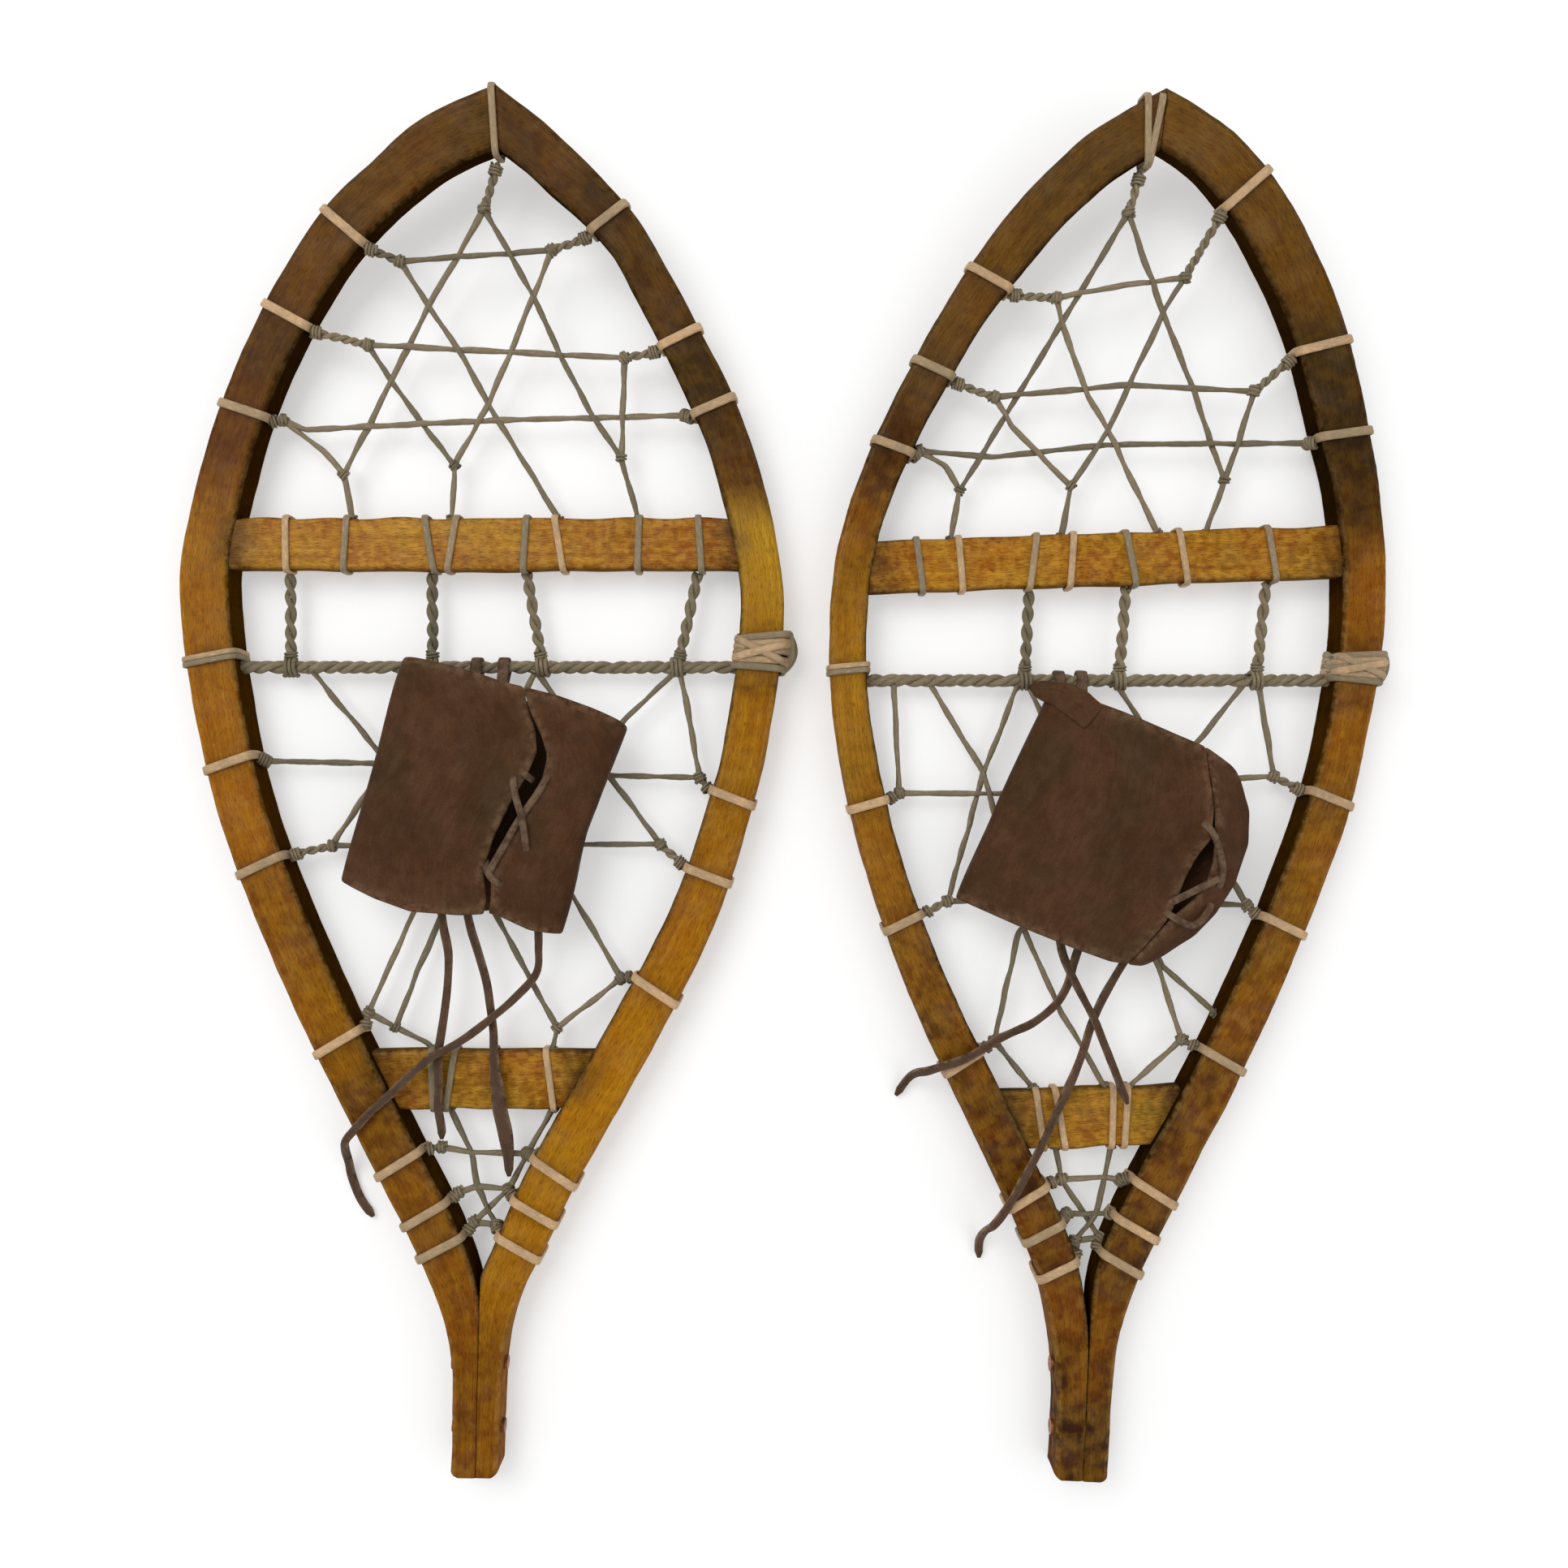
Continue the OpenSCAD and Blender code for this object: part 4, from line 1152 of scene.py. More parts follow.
    def stains(
        self,
        v: np.ndarray,
        where: np.ndarray,
        notches: Sequence[tuple[float, float]],
        inside: np.ndarray,
    ) -> np.ndarray:
        """How dark the wood has gone: bells at the wraps, just behind the knot, and on the
        inside at the two bars.

        Args:
            v: each point's station.
            where: each ring's distance along the edge.
            notches: the wraps' distances and half widths.
            inside: how far each point is towards the rail's inside, 0 to 1.
        Returns:
            The stain at each point, 0 to 1.
        """
        stain = np.zeros_like(v)
        for s, half in notches:
            stain = np.maximum(stain, 0.55 * bump(where, s, 2.2 * half)[:, None])
        if self.side is Side.PLUS:
            behind_knot = (self.plan.toe_cord_rail_v - 5.5) * MM
            stain = np.maximum(stain, 0.9 * bump(v, behind_knot, 0.0045))
        for bar in (self.plan.toe_bar, self.plan.heel_bar):
            stain = np.maximum(stain, bump(v, bar[0] * MM, 0.013) * inside)
        return stain

    def build(self) -> bpy.types.Object:
        """The stave as an object that stands for its CAD node.

        Returns:
            The object.
        """
        name = self.plan.rail_names[self.side]
        piece = make_piece(name + ".wood", self.plan.placed([self.shell()]), WOOD_MARKS)
        return hand_over(piece, self.plan.name + "_frame", name)


@dataclass(frozen=True)
class BarSize:
    """A crossbar's width, its thickness and the height of its middle, in metres."""

    width: float
    thickness: float
    z: float


TOE_BAR = BarSize(0.023, 0.010, 0.012)
HEEL_BAR = BarSize(0.026, 0.009, 0.0095)


@dataclass
class Crossbar:
    """A flat bar between the rails, with hand-shaved edges. Its place is the v of its middle
    in millimetres and its turn in degrees; the bite is how far its ends go into the rails."""

    plan: ShoePlan
    name: str
    at: tuple[float, float]
    size: BarSize
    shades: Sequence[tuple[float, Shade]]
    corner: float = 0.0022
    bite: float = 0.003

    def shell(self) -> Shell:
        """The bar's skin: a rounded profile along the bar from one rail's inside to the
        other's, its edges waving by half a millimetre.

        Returns:
            The shell in the shoe's own frame.
        """
        v, a = self.at[0] * MM, math.radians(self.at[1])
        ends = []
        for side in Side:
            line = RailLine(self.plan, side)
            probe = v + line.middle(v)[0] * math.tan(a)
            ends.append(line.middle(probe)[0] - side.value * (line.width(probe) / 2 - self.bite))
        x = np.linspace(ends[0] / math.cos(a), ends[1] / math.cos(a), int((ends[1] - ends[0]) / 0.0015))
        share, out = rounded_profile(5, 9, 3)
        r, seed = self.corner, self.plan.seed + int(self.size.width * 1e4)
        line_x = np.stack([x, np.zeros_like(x)], axis=1)
        front = 0.0006 * ripple(line_x, 0.04, seed)[:, None]
        back = 0.0006 * ripple(line_x, 0.03, seed + 1)[:, None]
        wave = np.where(share[:, 0] > 0, front, back) * np.abs(share[:, 0])
        y = share[:, 0] * (self.size.width / 2 - r) + out[:, 0] * r + wave
        z = share[:, 1] * (self.size.thickness / 2 - r) + out[:, 1] * r
        xx = np.broadcast_to(x[:, None], y.shape)
        z = z + 0.0002 * ripple(np.stack([xx, y], axis=2), 0.02, seed + 2) * np.maximum(out[:, 1], 0)
        rings = turned(np.stack([xx, y, self.size.z + z], axis=2), self.at[1]) + np.array([0, v, 0])
        near_end = np.minimum(np.abs(xx - x[0]), np.abs(x[-1] - xx))
        marks = {
            EDGE_WEAR: upper_edges(out) * np.ones_like(xx),
            # Painted shade: the bar's front and back faces are painted near black.
            SIDE_SHADE: np.clip(np.abs(out[:, 0]) - 0.3, 0, 1) * np.ones_like(xx) * 0.8,
            TOE_SHADE: np.zeros_like(xx),
            STAIN: np.clip(bump(near_end, 0.0, 0.012) * 1.1, 0, 1),
        }
        return Shell(rings, False, marks, shade_along(self.shades, xx))

    def build(self) -> bpy.types.Object:
        """The bar as an object that stands for its CAD node."""
        piece = make_piece(self.name + ".wood", self.plan.placed([self.shell()]), WOOD_MARKS)
        return hand_over(piece, self.plan.name + "_frame", self.name)


# ---------------------------------------------------------------- rawhide


@dataclass(frozen=True)
class Whipping:
    """Turns of lace round a cord: from the cord's middle to the lace's, the lace's
    thickness, and how many."""

    radius: float
    lace: float
    turns: float


NET_END = Whipping(0.0019, 0.0015, 2.2)
LONG_NECK = Whipping(0.00235, 0.0014, 3.2)
SHORT_NECK = Whipping(0.00235, 0.0014, 2.1)
NECK_KNOT = Whipping(0.0022, 0.0016, 2.4)
STAY_NECK = Whipping(0.0024, 0.0014, 2.4)
STAY_FOOT = Whipping(0.0037, 0.0019, 3.1)


def coil(
    centre: np.ndarray, axis: np.ndarray, whipping: Whipping, tone: float, start: float
) -> Shell:
    """A helix of lace round an axis: centre + axis * pitch * turn + radius * (cos, sin), its
    turns lying against each other.

    Args:
        centre: the middle of the coil.
        axis: its direction.
        whipping: its size.
        tone: the shade mark.
        start: the angle it starts at.
    Returns:
        The cord's shell.
    """
    axis = unit(np.asarray(axis, float))
    side = unit(np.cross(axis, np.array([0.13, 0.21, 0.97])))
    up = np.cross(axis, side)
    lace, turns = whipping.lace, whipping.turns
    a = np.linspace(0, 2 * math.pi * turns, int(22 * turns) + 2)
    run = (a / a[-1] - 0.5) * turns * lace * 0.96
    round_axis = np.cos(a + start)[:, None] * side + np.sin(a + start)[:, None] * up
    path = centre + run[:, None] * axis + whipping.radius * round_axis
    return cord_shell(path, lace, lace * 0.9, axis, sides=8, tone=tone)


def straight(points: np.ndarray, spacing: float) -> np.ndarray:
    """Points at equal distances along straight stretches.

    Args:
        points: (n, k) corners.
        spacing: distance between points.
    Returns:
        (m, k) points.
    """
    run = lengths(points)
    return at_lengths(points, run, np.linspace(0, run[-1], max(int(run[-1] / spacing), 4)))


def rail_loop(
    line: RailLine,
    v: float,
    thickness: float,
    breadth: float,
    lean: float = 0.0,
    shift: float = 0.0,
    swell: float = 0.0,
    lift: float = 0.0,
    tone: float = 0.5,
    square: float = 0.6,
) -> Shell:
    """A lace right round a rail: the rounded rectangle that clears the wood by half its
    thickness, carried onto the rail, with a flat profile lying against the wood.

    Args:
        line: the rail.
        v: the station.
        thickness: of the lace.
        breadth: of the lace.
        lean: how far it runs along the rail from outside to inside, over the top.
        shift: how far it is moved along the rail.
        swell: how far it stands off the outside face.
        lift: how far it stands off the top.
        tone: the shade mark.
        square: the profile's exponent.
    Returns:
        The lace's shell.
    """
    half, high = line.width(v) / 2, float(rail_height(line.middle(v)[1]))
    off = thickness * 0.42
    flat = ring_path(half + off, 0.00015 + thickness / 2, high + off + lift, 0.003)
    belly = np.sin(np.clip(flat[:, 1] / high, 0, 1) * math.pi)
    flat[:, 0] -= swell * np.clip(-flat[:, 0] / half, 0, 1) ** 3 * belly
    path = line.at_wrap(v, flat, lean, shift)
    n = line.across(v)
    outward = np.cross(headings(path, True), np.array([-n[1], n[0], 0.0]))
    return cord_shell(path, breadth, thickness, outward, square=square, loop=True, tone=tone)


# Each turn of the knot over the rail: where it is at the rail's inside and outside, in
# millimetres ahead of the toe cord, how far it stands off, how far it is lifted, its tone.
KNOT_TURNS = [
    (-2.0, -1.0, 1.0, 0.0, 0.5), (1.0, 2.5, 2.2, 0.6, 0.66), (3.5, 6.5, 3.2, 1.2, 0.58),
    (6.5, 10.5, 3.2, 1.0, 0.64), (9.5, 14.0, 2.2, 0.3, 0.56), (9.0, 2.5, 2.6, 2.2, 0.62),
    (1.5, 9.0, 3.0, 2.5, 0.68),
]
KNOT_SIDE_CORDS = [(14.5, 3.0), (9.5, 4.2), (5.5, 3.0)]


@dataclass
class RawhideWork:
    """The laced parts of a shoe: nets, wraps and necks, as one object for each CAD node.

    Over is how far a strand rises where it passes another; a long neck is one over that
    length; the tip's reach is half the length of the lashing over it."""

    plan: ShoePlan
    over: float = 0.0011
    strand: float = 0.0025
    long_neck: float = 0.014
    hitch_breadth: float = 0.004
    wrap_breadth: float = 0.003
    wrap_thickness: float = 0.0015
    tip_reach: float = 0.0136

    def __post_init__(self) -> None:
        """Smooths both rails once, and seeds the draws."""
        self.lines = {side: RailLine(self.plan, side) for side in Side}
        self.dice = np.random.default_rng(self.plan.seed)

    def finish(self, node: str, shells: Sequence[Shell]) -> bpy.types.Object:
        """The shells as one object that stands for a CAD node and rides with the frame.

        Args:
            node: the CAD node's name without the shoe's.
            shells: in the shoe's own frame.
        Returns:
            The object.
        """
        name = f"{self.plan.name}_{node}"
        piece = make_piece(name + ".rawhide", self.plan.placed(shells), (TONE,))
        return hand_over(piece, self.plan.name + "_frame", name)

    def crossings(self, rows: Sequence[Row]) -> list[list[tuple[float, float]]]:
        """Where each row of a net passes another: solves both straight stretches for the
        point they share, and sends the rows over and under by turns.

        Args:
            rows: the net's rows.
        Returns:
            For each row, [distance along it, +1 over or -1 under].
        """
        found: list[list[tuple[float, float]]] = [[] for _ in rows]
        lines = [mm(r) for r in rows]
        runs = [lengths(p) for p in lines]
        for i in range(len(rows)):
            for j in range(i + 1, len(rows)):
                for a in range(len(rows[i]) - 1):
                    for b in range(len(rows[j]) - 1):
                        p, r = lines[i][a], lines[i][a + 1] - lines[i][a]
                        q, s = lines[j][b], lines[j][b + 1] - lines[j][b]
                        det = r[0] * s[1] - r[1] * s[0]
                        if abs(det) < 1e-10:
                            continue
                        t = ((q[0] - p[0]) * s[1] - (q[1] - p[1]) * s[0]) / det
                        w = ((q[0] - p[0]) * r[1] - (q[1] - p[1]) * r[0]) / det
                        if -0.03 < t < 1.03 and -0.03 < w < 1.03:
                            sign = 1 if (i + j + len(found[i])) % 2 == 0 else -1
                            found[i].append((runs[i][a] + t * np.linalg.norm(r), sign))
                            found[j].append((runs[j][b] + w * np.linalg.norm(s), -sign))
        return found

    def net(self, node: str, rows: Sequence[Row]) -> bpy.types.Object:
        """A net: each row is a flattened, slowly twisting strand along its straight
        stretches, lifted or dropped in a bell 3 mm long where it passes another row.

        Args:
            node: the CAD node's name without the shoe's.
            rows: the rows of points, in millimetres.
        Returns:
            The object.
        """
        shells = []
        for k, (row, met) in enumerate(zip(rows, self.crossings(rows))):
            flat = straight(mm(row), 0.0014)
            run = lengths(flat)
            lift = np.zeros(len(flat))
            for where, sign in met:
                inside = ease(min(where, run[-1] - where), -0.001, 0.004)
                lift = lift + sign * self.over * inside * bump(run, where, 0.0032)
            lift = np.clip(lift, -1.3 * self.over, 1.3 * self.over)
            path = np.column_stack([flat, rise(flat[:, 1]) + NET_Z + lift])
            sway = 0.0003 * ripple(path + k, 0.02, self.plan.seed + k)
            path[:, 0] += sway * ease(np.minimum(run, run[-1] - run), 0, 0.006)
            smooth = path.copy()
            smooth[1:-1] = (path[:-2] + path[1:-1] * 2 + path[2:]) / 4
            girth = self.strand * (1 + 0.11 * ripple(smooth + k, 0.016, self.plan.seed + 40 + k))
            tone = 0.38 + self.dice.uniform(-0.15, 0.12)
            twist = self.dice.uniform(14, 34)
            shells.append(
                cord_shell(smooth, girth * 1.12, girth * 0.86, twist=twist, sides=9, square=0.85, tone=tone)
            )
            for point, other in ((smooth[0], smooth[3]), (smooth[-1], smooth[-4])):
                shells.append(coil(point, other - point, NET_END, tone - 0.1, k))
        return self.finish(node, shells)

    def neck(self, start: np.ndarray, end: np.ndarray) -> list[Shell]:
        """Two strands twisted together from a rail to a knot, with a binding turn at each
        end and a loose hitch over the knot.

        Args:
            start: where it leaves the rail.
            end: the knot.
        Returns:
            Its shells.
        """
        seed = int(self.dice.integers(1, 9999))
        line = straight(np.vstack([start, end]), 0.001)
        sag = 0.0004 * np.sin(np.linspace(0, math.pi, len(line)))
        line = line - np.column_stack([np.zeros((len(line), 2)), sag])
        tone = 0.4 + self.dice.uniform(-0.15, 0.1)
        shells = twisted(line, NECK, seed, tone)
        axis = end - start
        reach = float(np.linalg.norm(axis))
        whipping = LONG_NECK if reach > self.long_neck else SHORT_NECK
        root = start + axis * min(0.003 / reach, 0.3)
        askew = axis + np.array([0.4, -0.2, 0.1]) * reach
        shells.append(coil(root, axis, whipping, tone + 0.04, seed))
        shells.append(coil(end, askew, NECK_KNOT, tone, seed + 1))
        return shells

    def hitches(self, node: str, rows: Sequence[Hitch]) -> bpy.types.Object:
        """The wraps round the rails and their necks.

        Args:
            node: the CAD node's name without the shoe's.
            rows: [side, station, knot] in millimetres.
        Returns:
            The object.
        """
        shells = []
        for sign, v, knot in rows:
            line = self.lines[Side(sign)]
            v = v * MM
            m, n = line.middle(v), line.across(v)
            end = np.array([knot[0] * MM, knot[1] * MM, 0])
            end[2] = rise(end[1]) + NET_Z
            inside = m + (line.width(v) / 2 + LACE_THICKNESS / 2) * n
            tone = 0.7 + self.dice.uniform(-0.1, 0.1)
            lean = float(self.dice.uniform(0.0004, 0.0012))
            shells.append(rail_loop(line, v, 0.0017, self.hitch_breadth, lean, tone=tone))
            start = np.array([inside[0], inside[1], float(rise(m[1])) + NET_Z + 0.002])
            shells += self.neck(start, end)
        return self.finish(node, shells)

    def bar_loop(
        self, at: tuple[float, float], size: BarSize, u: float, lean: float, tone: float
    ) -> Shell:
        """A flat lace round a crossbar: a rounded rectangle in the plane across the bar.

        Args:
            at: the bar's middle v in millimetres and its turn in degrees.
            size: the bar's size.
            u: where the lace is along the bar, in millimetres.
            lean: how far the lace runs along the bar from its back to its front.
            tone: the shade mark.
        Returns:
            The lace's shell.
        """
        half = size.thickness / 2 + BAR_WRAP_GAP
        flat = ring_path(size.width / 2 + BAR_WRAP_GAP, -half, half, 0.0028)
        x = u * MM + lean * flat[:, 0] / size.width
        path = turned(np.column_stack([x, flat]), at[1]) + np.array([0, at[0] * MM, size.z])
        outward = np.cross(headings(path, True), turned(np.array([1.0, 0.0, 0.0]), at[1]))
        return cord_shell(
            path, self.wrap_breadth, self.wrap_thickness, outward, square=0.65, loop=True, tone=tone
        )

    def bar_wraps(
        self, node: str, at: tuple[float, float], size: BarSize, places: Sequence[float]
    ) -> bpy.types.Object:
        """The wraps round one crossbar.

        Args:
            node: the CAD node's name without the shoe's.
            at: the bar's middle v in millimetres and its turn in degrees.
            size: the bar's size.
            places: where they are along it, in millimetres.
        Returns:
            The object.
        """
        shells = []
        for u in places:
            lean = float(self.dice.uniform(-0.004, 0.004))
            tone = 0.6 + self.dice.uniform(-0.12, 0.12)
            shells.append(self.bar_loop(at, size, u, lean, tone))
        return self.finish(node, shells)

    def cord_v(self, u: float | np.ndarray) -> float | np.ndarray:
        """The toe cord's v at u, in metres: it lies along the shared X."""
        return self.plan.toe_cord_v * MM - u * math.tan(math.radians(self.plan.turn))

    def stays(self) -> bpy.types.Object:
        """The doubled stays: two strands twisted from the toe bar's back edge to the toe
        cord, and three turns round the cord.

        Returns:
            The object.
        """
        shells = []
        across = np.array([1.0, -math.tan(math.radians(self.plan.turn)), 0.0])
        bar_v, bar_turn = self.plan.toe_bar
        for k, (top, foot) in enumerate(self.plan.stays):
            behind = TOE_BAR.width / 2 + 0.001
            v = (bar_v + top * math.tan(math.radians(bar_turn))) * MM - behind
            start = np.array([top * MM, v, NET_Z + 0.0008])
            end = np.array([foot * MM, self.cord_v(foot * MM), NET_Z])
            line = straight(np.vstack([start, end]), 0.001)
            tone = 0.38 + self.dice.uniform(-0.15, 0.08)
            shells += twisted(line, STAY, self.plan.seed + 60 + k, tone)
            shells.append(coil(end, across, STAY_FOOT, tone, k))
            up = start - end
            shells.append(coil(end + up * 0.13, up, STAY_NECK, tone - 0.1, k))
        return self.finish("stays", shells)

    def toe_cord(self) -> bpy.types.Object:
        """The toe cord: three strands laid together from rail to rail, and two turns round
        the rail at its plain end.

        Returns:
            The object.
        """
        v = self.plan.toe_cord_v * MM
        ends = []
        for side, line in self.lines.items():
            ends.append(line.middle(v)[0] - side.value * (line.width(v) / 2 - 0.001))
        u = np.linspace(ends[0], ends[1], 9)
        path = np.stack([u, self.cord_v(u), np.full(9, NET_Z)], axis=1)
        shells = twisted(path, TOE_CORD, self.plan.seed + 7, 0.42)
        line, rail_v = self.lines[Side.MINUS], self.plan.toe_cord_rail_v * MM
        for shift, tone in ((-0.0012, 0.552), (0.0012, 0.648)):
            shells.append(rail_loop(line, rail_v, LACE_THICKNESS, 0.0024, 0.0006, shift, tone=tone))
        return self.finish("toe_cord", shells)

    def knot(self) -> bpy.types.Object:
        """The toe cord's knot: turns that leave the rail's inside near the cord, run forward
        over its top and stand off its outside, two of them across the others, and three
        cords bowed along the outside.

        Returns:
            The object.
        """
        line = self.lines[Side.PLUS]
        middle = float(np.mean(self.plan.knot_v)) * MM
        root = self.cord_v(float(line.middle(middle)[0])) - middle
        size = MM if self.plan.name == "left" else 0.8 * MM
        shells = []
        for inner, outer, swell, lift, tone in KNOT_TURNS:
            lean, shift = (inner - outer) / 2 * size, root + (inner + outer) / 2 * size
            shells.append(
                rail_loop(
                    line, middle, 0.0025, 0.0034, lean, shift, swell * size, lift * MM, tone, 0.85
                )
            )
        half = line.width(middle) / 2
        t = np.linspace(-1, 1, 25)
        for z, reach in KNOT_SIDE_CORDS:
            bowed = half + 0.0012 + reach * size * (1 - t**2)
            flat = np.stack([-bowed, z * MM + 0.001 * t], axis=1)
            path = line.at_wrap(middle, flat, 0, root + (7 + 8.5 * t) * size)
            shells.append(cord_shell(path, 0.0036, 0.003, sides=9, square=0.85, tone=0.42))
        return self.finish("toe_cord_knot", shells)

    def tip_lashing(self) -> bpy.types.Object:
        """The lace over the tip and through the point of the toe: a rounded rectangle along
        the shoe for each of its strands, and the twisted neck behind it.

        Returns:
            The object.
        """
        shells = []
        u0, reach = self.plan.tip_lashing_u * MM, self.tip_reach
        v0 = self.lines[Side.MINUS].edge_v(u0) + 0.0004 - reach
        flat = ring_path(reach, 0.0005, float(rail_height(v0)) + 0.0008, 0.003)
        for shift, lean in mm(self.plan.tip_strands):
            u = u0 + shift - lean * flat[:, 0] / reach
            v = v0 + flat[:, 0] + 0.8 * lean_back(v0, flat[:, 1].max() - flat[:, 1])
            z = rise(np.minimum(v, SHOE_LENGTH)) + flat[:, 1]
            path = np.stack([u, v, z], axis=1)
            outward = np.cross(headings(path, True), np.array([1.0, 0.0, 0.0]))
            shells.append(cord_shell(path, 0.003, 0.0017, outward, square=0.65, loop=True, tone=0.6))
        knot = mm(self.plan.tip_knot)
        end = np.array([knot[0], knot[1], float(rise(knot[1])) + NET_Z])
        inside = v0 - reach
        shells += self.neck(np.array([u0, inside, float(rise(inside)) + 0.0075]), end)
        return self.finish("tip_lashing", shells)

    def build(self) -> list[bpy.types.Object]:
        """Every rawhide part of the shoe.

        Returns:
            One object for each CAD node.
        """
        p = self.plan
        return [
            self.tip_lashing(),
            self.net("toe_lacing", p.toe_net),
            self.hitches("toe_hitches", p.toe_hitches),
            self.bar_wraps("toe_bar_wraps", p.toe_bar, TOE_BAR, p.toe_bar_wraps),
            self.stays(),
            self.toe_cord(),
            self.knot(),
            self.net("body_lacing", p.body_net),
            self.hitches("body_hitches", p.body_hitches),
            self.bar_wraps("heel_bar_wraps", p.heel_bar, HEEL_BAR, p.heel_bar_wraps),
            self.net("tail_lacing", p.tail_net),
            self.hitches("tail_hitches", p.tail_hitches),
        ]


# ---------------------------------------------------------------- leather


class Stiffness(Enum):
    """How stiff a thong is; nothing here reads it."""

    LIMP = "limp"
    MEDIUM = "medium"


@dataclass(frozen=True)
class Thong:
    """A loose thong: its route from the sleeve's mouth, in millimetres of the shoe's own
    frame. The leaf is how much wider it swells before its end."""

    plan: ShoePlan
    node: str
    route: Sequence[tuple[float, float, float]]
    stiffness: Stiffness
    leaf: float = 0.0
    width: float = 0.0036
    thickness: float = 0.0028

    def path(self) -> np.ndarray:
        """The middle line: the smooth curve through the route, with a point every 1.5 mm."""
        return evenly(mm(self.route), 0.0015)

    def widths(self, path: np.ndarray) -> np.ndarray:
        """The width along the line: even, uneven by a tenth, closing to a cut end, and where
        it ends as a leaf swelling over its last 60 mm before it comes to a point.

        Args:
            path: the middle line.
        Returns:
            One width for each point.
        """
        run = lengths(path)
        left = run[-1] - run
        width = self.width * (1 + 0.09 * ripple(path, 0.018, self.plan.seed + 9))
        width = width + self.leaf * ease(-left, -0.062, -0.03) * ease(left, -0.002, 0.022)
        return width * (0.45 + 0.55 * ease(left, 0, 0.003))

    def build(self) -> bpy.types.Object:
        """The thong as a flat cord that lies where its CAD solid does.

        Returns:
            The object.
        """
        name = f"{self.plan.name}_{self.node}"
        path = self.path()
        tilt = 0.16 * ripple(path, 0.05, self.plan.seed + 21)
        up = np.stack([np.sin(tilt), np.zeros_like(tilt), np.cos(tilt)], axis=1)
        wide = self.widths(path)
        thick = np.minimum(self.thickness, wide * 0.8)
        shell = cord_shell(path, wide, thick, up, sides=12, square=0.62)
        angle = np.linspace(0, 2 * math.pi, 12, endpoint=False)
        shell.marks[EDGE_WEAR] = np.broadcast_to(np.abs(np.cos(angle)) ** 3, shell.rings.shape[:2])
        piece = make_piece(name + ".leather", self.plan.placed([shell]), (EDGE_WEAR,))
        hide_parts(name)
        placed = self.plan.place(path)
        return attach(piece, self.plan.name + "_binding")


THONGS = [
    Thong(LEFT, "long_thong", [
        (22, 244, 18.5), (22, 234, 16), (21, 222, 14.4), (12, 211, 16.5), (2, 202, 19.4), (-8, 194, 19.6),
        (-16, 189, 21.8), (-22, 186, 22.3), (-31, 178, 21.6), (-40, 169, 21.6), (-49, 160.5, 21.6),
        (-55, 153.5, 21.6), (-59.5, 148, 20.4), (-62, 142, 13), (-62.5, 134, 5.5), (-62, 127, 2.3),
        (-58, 117, 1.9), (-52, 109, 1.9),
    ], Stiffness.LIMP),
    Thong(LEFT, "wide_thong", [
        (-10, 252, 18.5), (-8, 241, 15.8), (-5, 231, 14.4), (-1, 218, 14.4), (1, 207, 14.5), (3, 196, 16),
        (4, 186, 18.5), (5.5, 174, 18.6), (7, 163, 18.4), (9, 152, 15.6), (10.5, 141, 14.4), (11, 132, 14.2),
    ], Stiffness.MEDIUM, leaf=0.0032),
    Thong(LEFT, "short_thong", [
        (-21, 252, 18.5), (-20, 241, 15.8), (-18, 230, 14.4), (-18, 217, 14.4), (-19, 205, 14.4),
        (-20, 195, 15.6), (-20.5, 186, 18.3), (-20, 174, 18.6), (-20, 163, 18.4), (-19, 153, 15.6),
        (-19, 148, 14.6),
    ], Stiffness.MEDIUM),
    Thong(RIGHT, "long_thong", [
        (8, 232, 18.5), (3, 221, 15.6), (-2, 210, 14.4), (-6, 199, 14.8), (-9, 190, 17.6), (-13, 179, 19.3),
        (-17, 169, 19.3), (-21, 159, 19.3), (-25, 150, 21.2), (-29, 142, 22.6), (-34, 132, 23.2),
        (-39.5, 121, 23.2), (-45, 112, 21.4), (-47.5, 106, 12), (-48.5, 99, 4), (-48, 91, 1.9),
    ], Stiffness.LIMP),
    Thong(RIGHT, "side_thong", [
        (-13, 237, 18.5), (-15, 227, 15.6), (-17, 217, 14.4), (-22, 208, 14.4), (-31, 200, 14.8),
        (-40, 196, 17.8), (-48, 193, 22.6), (-56, 187.5, 23.4), (-64, 183, 23.4), (-72, 180, 23.3),
        (-77.5, 177.5, 21.4), (-81.5, 174.5, 12), (-84.5, 170, 4.5), (-89, 162, 1.9),
    ], Stiffness.LIMP),
    Thong(RIGHT, "short_thong", [
        (-23, 241, 18.5), (-20, 231, 15.6), (-16, 222, 17), (-11, 213, 18.5), (-5, 203, 17.4), (0, 193, 15),
        (4, 184, 15.6), (8, 174, 18.6), (11, 167, 18.6),
    ], Stiffness.MEDIUM),
]


